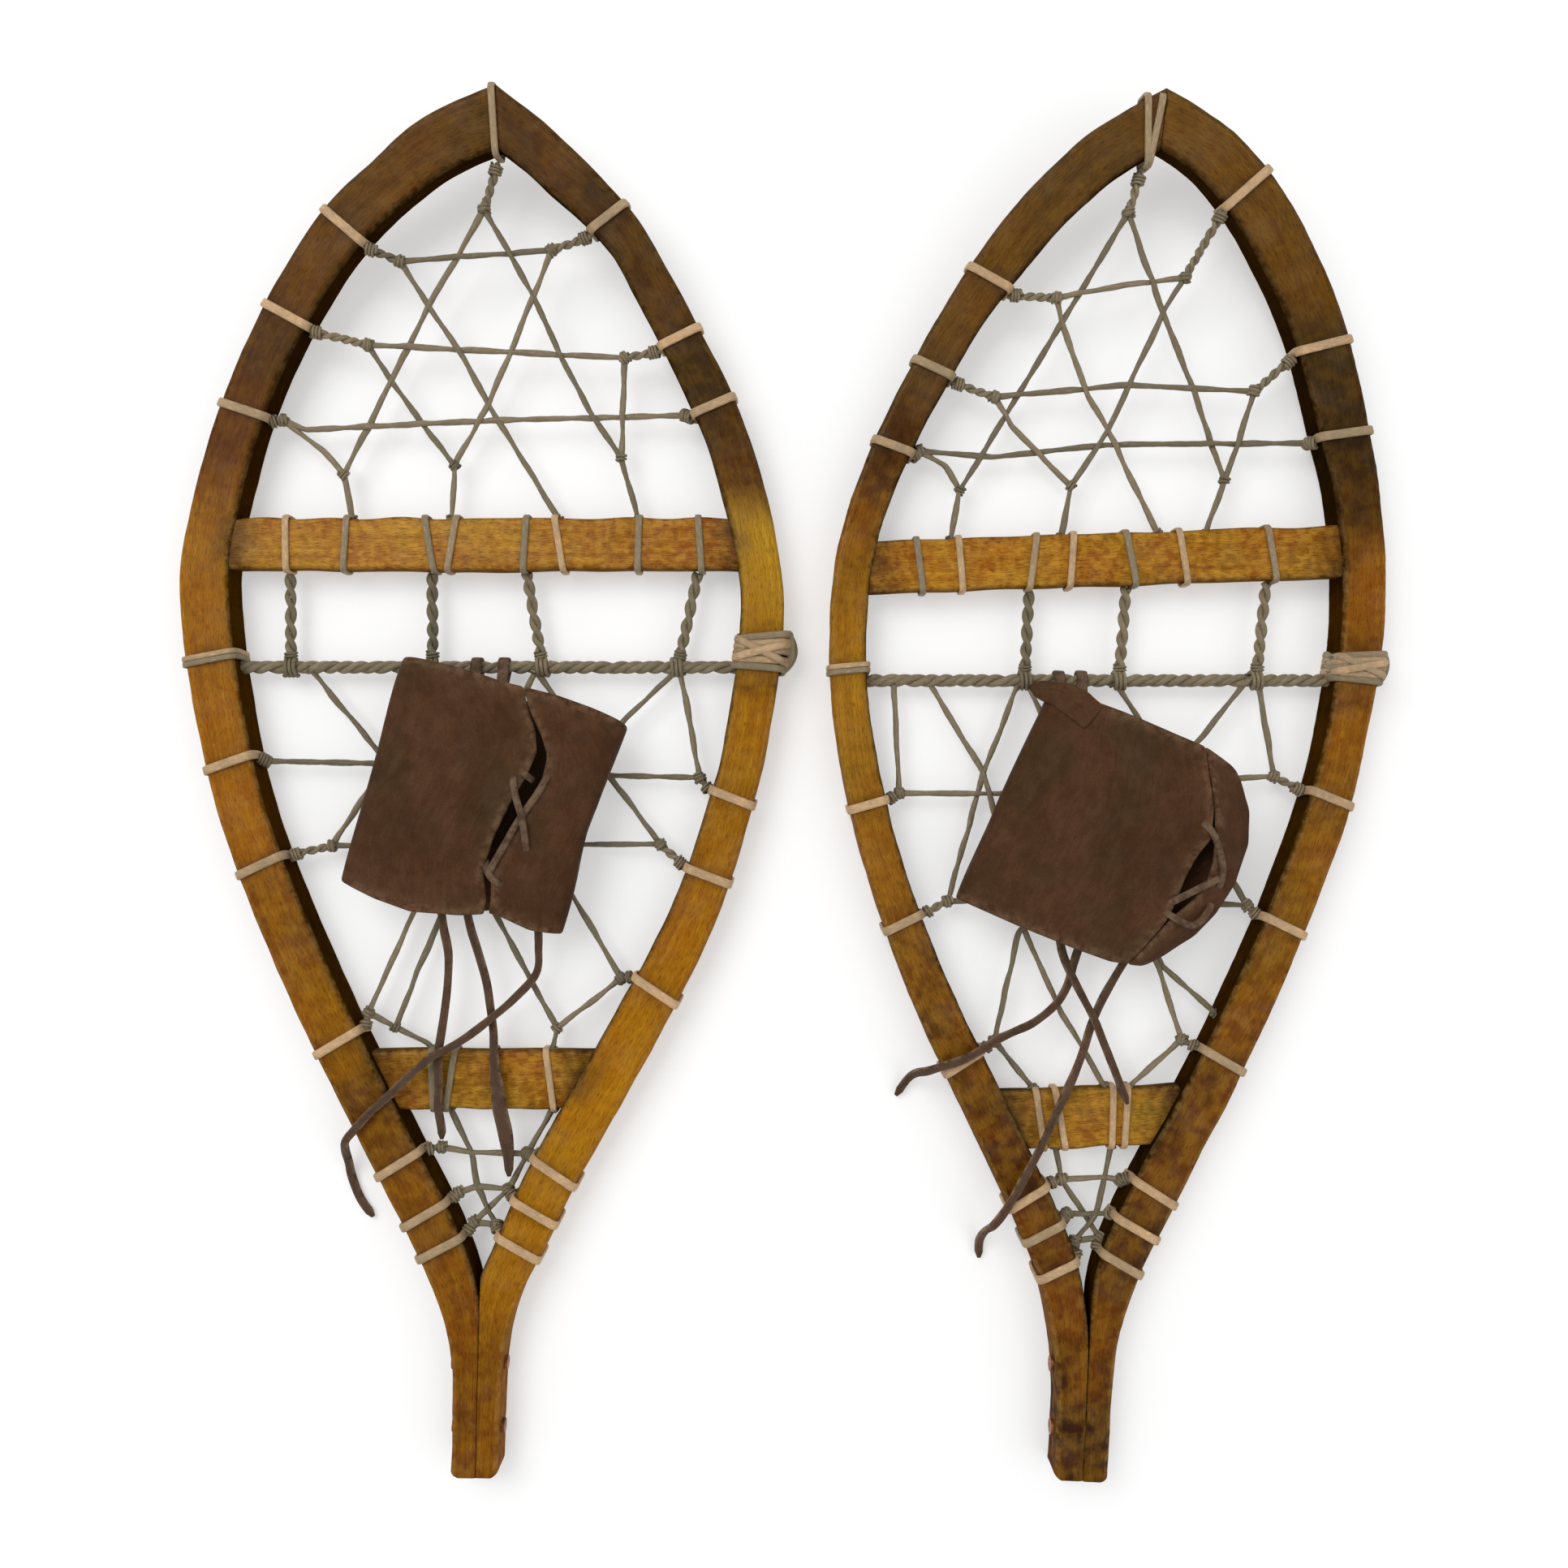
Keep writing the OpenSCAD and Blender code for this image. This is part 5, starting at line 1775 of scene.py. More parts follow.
@dataclass
class Sleeve:
    """A rolled sheet of leather, flattened as it lies, open at both ends and along its slit,
    with the thongs that lace it.

    Laces are rows of points on the leather, dips are [x, y, reach, depth], and the flap is
    the route of the turned corner as [x, y, z, width], all in millimetres of the sleeve's
    own frame. The power rounds its sides, the spacing is the grid's, the lean holds the
    under layer's front back, and the flat size, the unrolled sheet's, is not used."""

    plan: ShoePlan
    laces: Sequence[Sequence[tuple[float, float]]]
    dips: Sequence[tuple[float, float, float, float]]
    flap: Sequence[tuple[float, float, float, float]] = ()
    height: float = 0.0182
    thickness: float = 0.0023
    power: float = 3.1
    spacing: float = 0.0021
    columns: int = 107
    rows: int = 49
    lean: float = 0.0055
    tie_radius: float = 0.0038
    flat_size: tuple[float, float] = (0.225, 0.105)

    def edges(self, y: np.ndarray) -> tuple[np.ndarray, ...]:
        """The sleeve's sides and lips at y, by straight interpolation.

        Args:
            y: towards the toe.
        Returns:
            x of the left side, the right side, the left lip and the right lip.
        """
        s = self.plan.sleeve
        rows, slit = mm(s.outline), mm(s.slit)
        left, right = (np.interp(y, rows[:, 0], rows[:, k]) for k in (1, 2))
        middle, gap = (np.interp(y, slit[:, 0], slit[:, k]) for k in (1, 2))
        return left, right, middle - gap / 2, middle + gap / 2

    def top(self, x: np.ndarray, y: np.ndarray) -> np.ndarray:
        """Height of the upper layer's middle surface: half the height plus half the height
        times (1 - |s|^p)^(1/p), with s the place between the sides, less the dips and with
        the lips turned up.

        Args:
            x: across, in metres.
            y: towards the toe, in metres.
        Returns:
            z in metres above the sleeve's underside.
        """
        left, right, lip_l, lip_r = self.edges(y)
        s = np.clip(np.abs((2 * x - left - right) / (right - left)), 0, 1)
        z = self.height / 2 * (1 + (1 - s**self.power) ** (1 / self.power))
        return z + self.shape(x, y, lip_l, lip_r)

    def shape(
        self, x: np.ndarray, y: np.ndarray, lip_l: np.ndarray, lip_r: np.ndarray
    ) -> np.ndarray:
        """What the upper layer adds: lips turned up over 6 mm, bell-shaped dips, and creases.

        Args:
            x: across.
            y: towards the toe.
            lip_l: x of the left lip at y.
            lip_r: x of the right lip at y.
        Returns:
            The height added at each point.
        """
        gap = np.maximum(np.maximum(lip_l - x, x - lip_r), 0)
        z = self.plan.sleeve.lip * MM * 0.7 * np.exp(-((gap / 0.006) ** 2))
        for dx, dy, reach, depth in mm(self.dips):
            z = z - depth * np.exp(-((x - dx) ** 2 + ((y - dy) * 0.6) ** 2) / reach**2)
        spot = np.stack([x, y * 0.6], axis=-1)
        creases = 0.0007 * ripple(spot, 0.034, self.plan.seed + 31)
        return z + creases + 0.00018 * ripple(spot, 0.009, self.plan.seed + 33)

    def ring(self, y: float, count: int) -> np.ndarray:
        """The sheet's middle line across one row, as [x, z]: the closed curve
        |s|^p + |t|^p = 1 scaled to the sleeve, from the slit's right lip round the right
        side, the underside and the left side to the left lip, in equal steps.

        Args:
            y: the row.
            count: points on it.
        Returns:
            (count, 2) points.
        """
        left, right, lip_l, lip_r = (float(e) for e in self.edges(np.array(y)))
        a = np.linspace(math.pi, -2 * math.pi, 6001)
        c, d = np.cos(a), np.sin(a)
        x = (left + right) / 2 + (right - left) / 2 * np.sign(c) * np.abs(c) ** (2 / self.power)
        z = self.height / 2 * (1 + np.sign(d) * np.abs(d) ** (2 / self.power))
        first, last = a > 0, a < -math.pi
        start = np.searchsorted(x[first], lip_r)
        end = len(a) - last.sum() + np.searchsorted(x[last], lip_l)
        line = np.stack([x, z], axis=1)[start : end + 1]
        run = lengths(line)
        return at_lengths(line, run, np.linspace(0, run[-1], count))

    def surface(self) -> np.ndarray:
        """The sheet's middle surface: at each row the ring's x and z, and y between the two
        mouths at that x, the under layer's front held back by the lean.

        Returns:
            (rows, columns, 3) points in the sleeve's frame.
        """
        s = self.plan.sleeve
        heel, toe = mm(s.heel_mouth), mm(s.toe_mouth)
        t = np.linspace(0, 1, self.rows)
        nominal = np.interp(t, [0, 1], [heel[:, 1].mean(), toe[:, 1].mean()])
        flat = np.stack([self.ring(y, self.columns) for y in nominal])
        x, z = flat[..., 0], flat[..., 1]
        low = np.interp(x, heel[:, 0], heel[:, 1])
        high = np.interp(x, toe[:, 0], toe[:, 1]) - self.lean * (1 - z / self.height)
        y = low + (high - low) * t[:, None]
        _, _, lip_l, lip_r = self.edges(y)
        upper = ease(z, self.height * 0.55, self.height * 0.9)
        z = z + upper * self.shape(x, y, lip_l, lip_r)
        sag = 0.0006 * ripple(np.stack([x, y], axis=-1), 0.05, self.plan.seed + 35)
        x = x + (1 - upper) * sag
        return np.stack([x, y, z], axis=-1)

    def place(self, points: np.ndarray) -> np.ndarray:
        """Points of the sleeve's frame carried into the shoe's: turned, then moved."""
        s = self.plan.sleeve
        return turned(points, s.turn) + np.array([s.at[0] * MM, s.at[1] * MM, SLEEVE_BASE_Z])

    def strip(self, suffix: str, shells: Sequence[Shell], rubbed: float) -> bpy.types.Object:
        """Cords of the sleeve as one object that stands for a CAD node.

        Args:
            suffix: the end of the node's name.
            shells: the cords in the shoe's own frame.
            rubbed: their edge mark.
        Returns:
            The object.
        """
        for shell in shells:
            shell.marks[EDGE_WEAR] = np.full(shell.rings.shape[:2], rubbed)
        name = self.plan.name + suffix
        piece = make_piece(name + ".leather", self.plan.placed(shells), (EDGE_WEAR,))
        return hand_over(piece, self.plan.name + "_binding", name)

    def sheet(self) -> bpy.types.Object:
        """The sheet as its middle surface, thickened evenly to both sides and rounded.

        Returns:
            The object.
        """
        middle = self.surface()
        n, m = middle.shape[:2]
        i, j = np.mgrid[0:n, 0:m]
        border = np.minimum(np.minimum(i, n - 1 - i), np.minimum(j, m - 1 - j)) * self.spacing
        marks = {EDGE_WEAR: np.exp(-((border / 0.0035) ** 2))}
        name = self.plan.name + "_sleeve"
        piece = make_sheet(name + ".leather", self.plan.place(self.place(middle)), marks)
        skin = piece.modifiers.new("Thickness", "SOLIDIFY")
        skin.thickness, skin.offset, skin.use_even_offset = self.thickness, 0.0, True
        round_off = piece.modifiers.new("Rounding", "SUBSURF")
        round_off.levels = round_off.render_levels = 1
        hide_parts(name)
        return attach(piece, self.plan.name + "_binding")

    def lacing(self) -> bpy.types.Object:
        """The thongs that lace the slit: flat cords on the leather, their ends dipping
        through it.

        Returns:
            The object.
        """
        shells = []
        for k, row in enumerate(self.laces):
            flat = evenly(mm(row), 0.0012)
            run = lengths(flat)
            ends = np.minimum(run, run[-1] - run)
            dipping = 0.0042 * (1 - ease(ends, 0, 0.0045))
            passing = 0.0011 * (k % 3) * ease(ends, 0.003, 0.01)
            on_top = self.top(flat[:, 0], flat[:, 1]) + self.thickness / 2 + 0.0009
            path = self.place(np.column_stack([flat, on_top - dipping + passing]))
            shells.append(cord_shell(path, 0.0031, 0.0021, square=0.7))
        return self.strip("_sleeve_lace", shells, 0.35)

    def corner(self) -> bpy.types.Object:
        """The turned corner of the sheet: a flat tongue along its route, as wide as the
        route's fourth column says.

        Returns:
            The object.
        """
        rows = mm(self.flap)
        path = evenly(self.place(rows[:, :3]), 0.001)
        share = np.linspace(0, 1, len(path))
        width = np.interp(share, np.linspace(0, 1, len(rows)), rows[:, 3])
        width = width * np.sqrt(1 - 0.92 * ease(share, 0.86, 1))
        width = width + 0.0005 * ripple(path, 0.008, self.plan.seed)
        thickness = 0.003 - 0.001 * ease(share, 0.8, 1)
        shell = cord_shell(path, width, thickness, sides=24, square=0.6)
        shell.marks[EDGE_WEAR] = np.full(shell.rings.shape[:2], 0.2)
        name = self.plan.name + "_sleeve_corner.leather"
        piece = make_piece(name, self.plan.placed([shell]), (EDGE_WEAR,))
        return hand_over(piece, self.plan.name + "_binding")

    def ties(self) -> bpy.types.Object:
        """The loops round the toe cord: a strap from under the sleeve over the cord, round
        its front and back under, the cord's radius and half its own thickness away.

        Returns:
            The object.
        """
        a = np.radians(np.linspace(112, -128, 22))
        round_cord = self.tie_radius * np.stack([np.cos(a), np.sin(a)], axis=1)
        over = mm([(-21, 4.7), (-12, 4.7), (-5, 4.3)])
        under = mm([(-5.5, 0), (-9, 2.3), (-21, 3.2)])
        flat = evenly(np.vstack([over, round_cord, under]), 0.0008, 3)
        shells = []
        for u in self.plan.ties:
            x = u * MM
            v = self.plan.toe_cord_v * MM - x * math.tan(math.radians(self.plan.turn))
            path = np.column_stack([np.full(len(flat), x), flat + np.array([v, NET_Z])])
            outward = np.cross(unit(np.gradient(path, axis=0)), np.array([1.0, 0, 0]))
            shells.append(cord_shell(path, 0.005, 0.0014, outward, sides=12, square=0.55))
        return self.strip("_toe_tie", shells, 0.25)

    def build(self) -> list[bpy.types.Object]:
        """The lacing, the ties, the sheet and its turned corner."""
        return [self.lacing(), self.ties(), self.sheet()] + ([self.corner()] if self.flap else [])


# ---------------------------------------------------------------- finishes


Feed = bpy.types.NodeSocket | float | Sequence[float]


class Graph:
    """Wires one node tree: a value given to a socket is either linked or set."""

    def __init__(self, tree: bpy.types.NodeTree) -> None:
        """Takes an empty tree.

        Args:
            tree: the tree of a material or a group.
        """
        self.tree = tree

    def node(
        self, kind: str, inputs: dict[str | int, Feed] | None = None, **settings: object
    ) -> bpy.types.Node:
        """A node with its settings and inputs.

        Args:
            kind: Blender's name of the node.
            inputs: what each socket is fed, by name or number.
            settings: the node's own properties.
        Returns:
            The node.
        """
        made = self.tree.nodes.new(kind)
        for key, value in settings.items():
            setattr(made, key, value)
        for key, value in (inputs or {}).items():
            self.feed(made.inputs[key], value)
        return made

    def feed(self, socket: bpy.types.NodeSocket, value: Feed) -> None:
        """Links another node's socket to this one, or sets a constant on it.

        Args:
            socket: the input.
            value: what it takes.
        """
        if isinstance(value, bpy.types.NodeSocket):
            self.tree.links.new(value, socket)
        else:
            socket.default_value = value

    def math(self, op: str, *values: Feed, clamp: bool = False) -> bpy.types.NodeSocket:
        """Arithmetic on one to three values."""
        made = self.node("ShaderNodeMath", dict(enumerate(values)), operation=op, use_clamp=clamp)
        return made.outputs[0]

    def times(self, a: Feed, b: Feed) -> bpy.types.NodeSocket:
        """The product of two values."""
        return self.math("MULTIPLY", a, b)

    def less(self, a: Feed, b: Feed) -> bpy.types.NodeSocket:
        """a less b."""
        return self.math("SUBTRACT", a, b)

    def span(
        self, value: Feed, low: float, high: float, start: float = 0.0, end: float = 1.0
    ) -> bpy.types.NodeSocket:
        """The value from low to high carried onto start to end, smoothly and clamped."""
        inputs = {"Value": value, "From Min": low, "From Max": high, "To Min": start, "To Max": end}
        return self.node("ShaderNodeMapRange", inputs, interpolation_type="SMOOTHSTEP").outputs[0]

    def noise(
        self, vector: Feed, scale: Feed, detail: float = 3.0, rough: float = 0.55
    ) -> bpy.types.NodeSocket:
        """Clouds of that scale, 0 to 1."""
        inputs = {"Vector": vector, "Scale": scale, "Detail": detail, "Roughness": rough}
        return self.node("ShaderNodeTexNoise", inputs).outputs[0]

    def stretched(self, vector: Feed, scale: Sequence[float]) -> bpy.types.NodeSocket:
        """The vector with each part times its own scale."""
        return self.node("ShaderNodeMapping", {"Vector": vector, "Scale": scale}).outputs[0]

    def mix(self, share: Feed, a: Feed, b: Feed, blend: str = "MIX") -> bpy.types.NodeSocket:
        """Colour a with colour b laid over it.

        Args:
            share: how much of b shows, 0 to 1.
            a: the colour under it.
            b: the colour over it.
            blend: Blender's name for how b is laid.
        Returns:
            The mixed colour.
        """
        made = self.node("ShaderNodeMix", data_type="RGBA", blend_type=blend)
        for key, value in ((0, share), (6, a), (7, b)):
            self.feed(made.inputs[key], value)
        return made.outputs[2]

    def mark(self, name: str) -> bpy.types.NodeSocket:
        """A piece's own mark, 0 to 1."""
        return self.node("ShaderNodeAttribute", attribute_name=name).outputs["Fac"]

    def layers(
        self, colour: Feed, coats: Sequence[tuple[Feed, Shade]], blend: str = "MIX"
    ) -> bpy.types.NodeSocket:
        """A colour with shades laid over it one after another.

        Args:
            colour: the lowest one.
            coats: the share and the shade of each, lowest first.
            blend: how each is laid.
        Returns:
            The mixed colour.
        """
        for share, shade in coats:
            colour = self.mix(share, colour, rgba(shade), blend)
        return colour

    def bumps(self, height: Feed, distance: float) -> bpy.types.NodeSocket:
        """A normal from a height, with the depth in metres of its full range."""
        return self.node("ShaderNodeBump", {"Height": height, "Distance": distance}).outputs[0]


def rgba(shade: Sequence[float]) -> tuple[float, float, float, float]:
    """A display shade as a linear colour for a socket."""
    return (*(float(c) for c in linear(shade)), 1.0)


class Effect(Enum):
    """The shared effects, by the names of their node groups."""

    GRAIN = "WoodGrain"
    MOTTLE = "Mottling"
    WEAR = "EdgeWear"
    HIDE = "HidePores"
    FIBRE = "HideFibre"
    DUST = "FineDust"


class Effects:
    """The shared effects as node groups, built once."""

    def __init__(self) -> None:
        """Builds each group."""
        self.groups: dict[Effect, bpy.types.NodeTree] = {}
        self.grain()
        self.mottle()
        self.wear()
        self.hide()
        self.fibre()
        self.dust()

    def start(
        self, effect: Effect, ins: dict[str, str], outs: Sequence[str]
    ) -> tuple[Graph, dict[str, bpy.types.NodeSocket], bpy.types.Node]:
        """An empty group with its sockets.

        Args:
            effect: which.
            ins: each input's kind by name.
            outs: the outputs' names.
        Returns:
            Its graph, its inputs by name, and its output node.
        """
        tree = bpy.data.node_groups.new(effect.value, "ShaderNodeTree")
        for name, kind in ins.items():
            tree.interface.new_socket(name=name, in_out="INPUT", socket_type=f"NodeSocket{kind}")
        for name in outs:
            tree.interface.new_socket(name=name, in_out="OUTPUT", socket_type="NodeSocketFloat")
        self.groups[effect] = tree
        graph = Graph(tree)
        entry = graph.node("NodeGroupInput")
        return graph, {name: entry.outputs[name] for name in ins}, graph.node("NodeGroupOutput")

    def use(self, graph: Graph, effect: Effect, **inputs: Feed) -> bpy.types.NodeOutputs:
        """The group placed in a graph with its own values.

        Args:
            graph: where.
            effect: which group.
            inputs: its inputs by name.
        Returns:
            The group's outputs.
        """
        made = graph.node("ShaderNodeGroup")
        made.node_tree = self.groups[effect]
        for name, value in inputs.items():
            graph.feed(made.inputs[name], value)
        return made.outputs

    def grain(self) -> None:
        """Wood grain: long thin clouds along the piece for streaks, finer ones for pores, and
        bands bent by slow clouds for the growth rings."""
        ins = {"Along": "Vector", "Place": "Vector"}
        g, i, out = self.start(Effect.GRAIN, ins, ("Streaks", "Pores", "Rings"))
        sideways = g.times(g.noise(i["Place"], 14, 2), 0.006)
        shift = g.node("ShaderNodeCombineXYZ", {"Y": sideways}).outputs[0]
        bent = g.node("ShaderNodeVectorMath", {0: i["Along"], 1: shift}, operation="ADD").outputs[0]
        streaks = g.noise(g.stretched(bent, (22, 620, 1)), 1.0, 4, 0.6)
        pores = g.noise(g.stretched(bent, (260, 3600, 1)), 1.0, 2, 0.6)
        rings = g.noise(g.stretched(bent, (6, 210, 1)), 1.0, 2, 0.4)
        g.feed(out.inputs["Streaks"], g.span(streaks, 0.34, 0.66))
        g.feed(out.inputs["Pores"], g.span(pores, 0.55, 0.72))
        g.feed(out.inputs["Rings"], g.span(rings, 0.38, 0.62))

    def mottle(self) -> None:
        """Patches of two sizes, 3 to 4 cm and 6 to 8 mm at scale 1."""
        g, i, out = self.start(Effect.MOTTLE, {"Place": "Vector", "Scale": "Float"}, ("Broad", "Fine"))
        for name, scale in (("Broad", 28.0), ("Fine", 150.0)):
            clouds = g.noise(i["Place"], g.times(i["Scale"], scale), 4.0, 0.5)
            g.feed(out.inputs[name], g.span(clouds, 0.36, 0.64))

    def wear(self) -> None:
        """Rubbed edges: the piece's own edge mark, broken up by clouds."""
        ins = {"Edge": "Float", "Place": "Vector", "Amount": "Float"}
        g, i, out = self.start(Effect.WEAR, ins, ("Worn",))
        broken = g.times(i["Edge"], g.span(g.noise(i["Place"], 240, 4, 0.65), 0.36, 0.62))
        g.feed(out.inputs["Worn"], g.math("MULTIPLY", broken, i["Amount"], clamp=True))

    def hide(self) -> None:
        """Leather: cells of about a millimetre with sunk borders, fine pores, and creases
        drawn out one way."""
        ins = {"Place": "Vector", "Along": "Vector"}
        g, i, out = self.start(Effect.HIDE, ins, ("Cells", "Pores", "Creases"))
        inputs = {"Vector": i["Place"], "Scale": 900.0}
        cells = g.node("ShaderNodeTexVoronoi", inputs, feature="DISTANCE_TO_EDGE").outputs[0]
        g.feed(out.inputs["Cells"], g.span(cells, 0.0, 0.18))
        g.feed(out.inputs["Pores"], g.span(g.noise(i["Place"], 1900, 2), 0.55, 0.75))
        creases = g.noise(g.stretched(i["Along"], (55, 190, 1)), 1.0, 5, 0.65)
        from_middle = g.math("ABSOLUTE", g.less(creases, 0.5))
        g.feed(out.inputs["Creases"], g.span(from_middle, 0.0, 0.07))

    def fibre(self) -> None:
        """Dried rawhide: fibres along the strand, and pale and dark stretches of 5 to 10 mm."""
        g, i, out = self.start(Effect.FIBRE, {"Along": "Vector", "Place": "Vector"}, ("Fibres", "Stretches"))
        fibres = g.noise(g.stretched(i["Along"], (320, 2600, 1)), 1.0, 3, 0.6)
        g.feed(out.inputs["Fibres"], g.span(fibres, 0.36, 0.66))
        g.feed(out.inputs["Stretches"], g.span(g.noise(i["Place"], 130, 3), 0.38, 0.62))

    def dust(self) -> None:
        """Dust: clouds on what faces up."""
        g, i, out = self.start(Effect.DUST, {"Place": "Vector", "Amount": "Float"}, ("Dust",))
        normal = g.node("ShaderNodeNewGeometry").outputs["Normal"]
        up = g.node("ShaderNodeSeparateXYZ", {0: normal}).outputs["Z"]
        clouds = g.span(g.noise(i["Place"], 70, 5, 0.6), 0.42, 0.72)
        share = g.times(g.span(up, 0.35, 1.0), clouds)
        g.feed(out.inputs["Dust"], g.math("MULTIPLY", share, i["Amount"], clamp=True))


@dataclass(frozen=True)
class Finish:
    """What every finish shares: its name, and the coordinates and shader it starts from."""

    name: str

    def start(
        self,
    ) -> tuple[bpy.types.Material, Graph, bpy.types.NodeSocket, bpy.types.NodeSocket]:
        """An empty material.

        Returns:
            The material, its graph, the object coordinates and the Along map.
        """
        made = bpy.data.materials.new(self.name)
        made.use_nodes = True
        made.node_tree.nodes.clear()
        g = Graph(made.node_tree)
        place = g.node("ShaderNodeTexCoord").outputs["Object"]
        along = g.node("ShaderNodeUVMap", uv_map=ALONG).outputs[0]
        return made, g, place, along

    def end(self, g: Graph, inputs: dict[str, Feed]) -> None:
        """The Principled shader with its inputs, wired to the output.

        Args:
            g: the material's graph.
            inputs: the shader's inputs by name.
        """
        shader = g.node("ShaderNodeBsdfPrincipled", inputs)
        g.node("ShaderNodeOutputMaterial", {"Surface": shader.outputs[0]})


@dataclass(frozen=True)
class VarnishedWood(Finish):
    """Old clear varnish over bent ash. The colour along a piece is its own tint, with
    streaks, warmer and paler patches, dark stains and worn edges over it, and painted shade:
    the side faces near black, and the upturned toe and its upper edges darker."""

    warm: Shade = (162, 96, 4)
    pale: Shade = (192, 146, 40)
    dark: Shade = (46, 27, 8)
    warmth: float = 0.34
    paleness: float = 0.22
    scale: float = 1.0

    def build(self, effects: Effects) -> bpy.types.Material:
        """The material.

        Args:
            effects: the shared groups.
        Returns:
            The new material.
        """
        made, g, place, along = self.start()
        edge, inner, toe = g.mark(EDGE_WEAR), g.mark(SIDE_SHADE), g.mark(TOE_SHADE)
        tint = g.node("ShaderNodeAttribute", attribute_name=TINT).outputs["Color"]
        grain = effects.use(g, Effect.GRAIN, Along=along, Place=place)
        spots = effects.use(g, Effect.MOTTLE, Place=place, Scale=self.scale)
        worn = effects.use(g, Effect.WEAR, Edge=edge, Place=place, Amount=0.2)["Worn"]
        dust = effects.use(g, Effect.DUST, Place=place, Amount=0.05)["Dust"]
        # Fewer warm and pale patches, and less rubbing, on the toe under its painted shade.
        body = g.less(1.0, g.times(toe, 0.55))
        stained = g.times(g.mark(STAIN), g.span(g.noise(place, 90, 4), 0.3, 0.6, 0.25, 0.8))
        colour = g.layers(tint, [
            (g.times(g.times(spots["Broad"], self.warmth), body), self.warm),
            (g.times(g.times(spots["Fine"], self.paleness), body), self.pale),
        ])
        colour = g.layers(colour, [
            (g.times(grain["Rings"], 0.3), (200, 168, 120)),
            (g.times(grain["Streaks"], 0.4), (196, 160, 110)),
        ], "MULTIPLY")
        colour = g.layers(colour, [(g.times(grain["Pores"], 0.3), self.dark), (stained, self.dark)])
        # Painted shade: a grey multiplied over the upturned toe darkens it; the warm multiply after it covers
        # the whole piece.
        colour = g.layers(colour, [(g.times(toe, 0.6), (206, 200, 190)), (0.75, (255, 246, 176))], "MULTIPLY")
        # Painted shade: the side faces near black and the toe's upper edges darker; then the rubbed edges and
        # the dust.
        colour = g.layers(colour, [
            (g.times(inner, 0.86), (26, 15, 4)),
            (g.times(g.times(edge, toe), 0.45), self.dark),
            (g.times(worn, body), (190, 150, 84)),
            (dust, (150, 140, 120)),
        ])
        dull = g.math("ADD", g.times(spots["Fine"], 0.5), g.times(worn, 0.8))
        height = g.less(g.times(grain["Streaks"], 0.5), grain["Pores"])
        # No clear coat on the side faces, so that their painted shade stays dark.
        coat = g.math("SUBTRACT", 1.0, inner, clamp=True)
        self.end(g, {
            "Base Color": colour,
            "Roughness": g.span(dull, 0, 1, 0.36, 0.6),
            "Normal": g.bumps(height, 0.00022),
            "Specular IOR Level": 0.0,
            "Coat Weight": g.times(coat, 0.14),
            "Coat Roughness": 0.38,
        })
        return made


@dataclass(frozen=True)
class Rawhide(Finish):
    """Dry stretched rawhide, a little translucent: grey-tan where it stands free and
    pinkish cream where it is drawn over the wood."""

    dull: Shade = (112, 104, 82)
    middle: Shade = (146, 132, 106)
    cream: Shade = (216, 180, 138)

    def build(self, effects: Effects) -> bpy.types.Material:
        """The material.

        Args:
            effects: the shared groups.
        Returns:
            The new material.
        """
        made, g, place, along = self.start()
        tone = g.mark(TONE)
        fibre = effects.use(g, Effect.FIBRE, Along=along, Place=place)
        dust = effects.use(g, Effect.DUST, Place=place, Amount=0.06)["Dust"]
        colour = g.layers(rgba(self.dull), [
            (g.span(tone, 0.15, 0.5), self.middle),
            (g.span(tone, 0.52, 0.72), self.cream),
            (g.times(fibre["Stretches"], 0.3), (132, 122, 98)),
        ])
        colour = g.layers(colour, [(g.times(fibre["Fibres"], 0.4), (205, 190, 165))], "MULTIPLY")
        height = g.math("ADD", fibre["Fibres"], g.times(fibre["Stretches"], 0.6))
        self.end(g, {
            "Base Color": g.layers(colour, [(dust, (90, 84, 70))]),
            "Roughness": g.span(fibre["Stretches"], 0, 1, 0.42, 0.66),
            "Normal": g.bumps(height, 0.0002),
            "Subsurface Weight": 0.12,
            "Subsurface Scale": 0.003,
            "Specular IOR Level": 0.3,
        })
        return made


@dataclass(frozen=True)
class Leather(Finish):
    """Soft matt brown leather: browns in patches, dark creases, pale rubbed edges."""

    base: Shade = (74, 46, 24)
    red: Shade = (84, 53, 32)
    olive: Shade = (66, 48, 24)
    rubbed: Shade = (122, 96, 72)
    rubbing: float = 0.5
    depth: float = 0.00015

    def build(self, effects: Effects) -> bpy.types.Material:
        """The material.

        Args:
            effects: the shared groups.
        Returns:
            The new material.
        """
        made, g, place, along = self.start()
        hide = effects.use(g, Effect.HIDE, Place=place, Along=along)
        spots = effects.use(g, Effect.MOTTLE, Place=place, Scale=0.9)
        worn = effects.use(g, Effect.WEAR, Edge=g.mark(EDGE_WEAR), Place=place, Amount=self.rubbing)
        dust = effects.use(g, Effect.DUST, Place=place, Amount=0.04)
        colour = g.layers(rgba(self.base), [
            (spots["Broad"], self.red),
            (g.times(g.span(g.noise(place, 22, 3), 0.5, 0.68), 0.7), self.olive),
            (g.times(spots["Fine"], 0.24), (38, 24, 14)),
            (g.times(g.less(1.0, hide["Creases"]), 0.16), (34, 22, 12)),
            (g.times(g.less(1.0, hide["Cells"]), 0.25), (40, 26, 15)),
            (worn["Worn"], self.rubbed),
            (dust["Dust"], (128, 116, 98)),
        ])
        height = g.math("ADD", g.times(hide["Cells"], 0.35), g.times(hide["Creases"], 0.8))
        height = g.less(height, g.times(hide["Pores"], 0.3))
        self.end(g, {
            "Base Color": colour,
            "Roughness": g.span(spots["Fine"], 0, 1, 0.58, 0.78),
            "Normal": g.bumps(height, self.depth),
            "Sheen Weight": 0.03,
            "Sheen Roughness": 0.5,
            "Specular IOR Level": 0.08,
        })
        return made


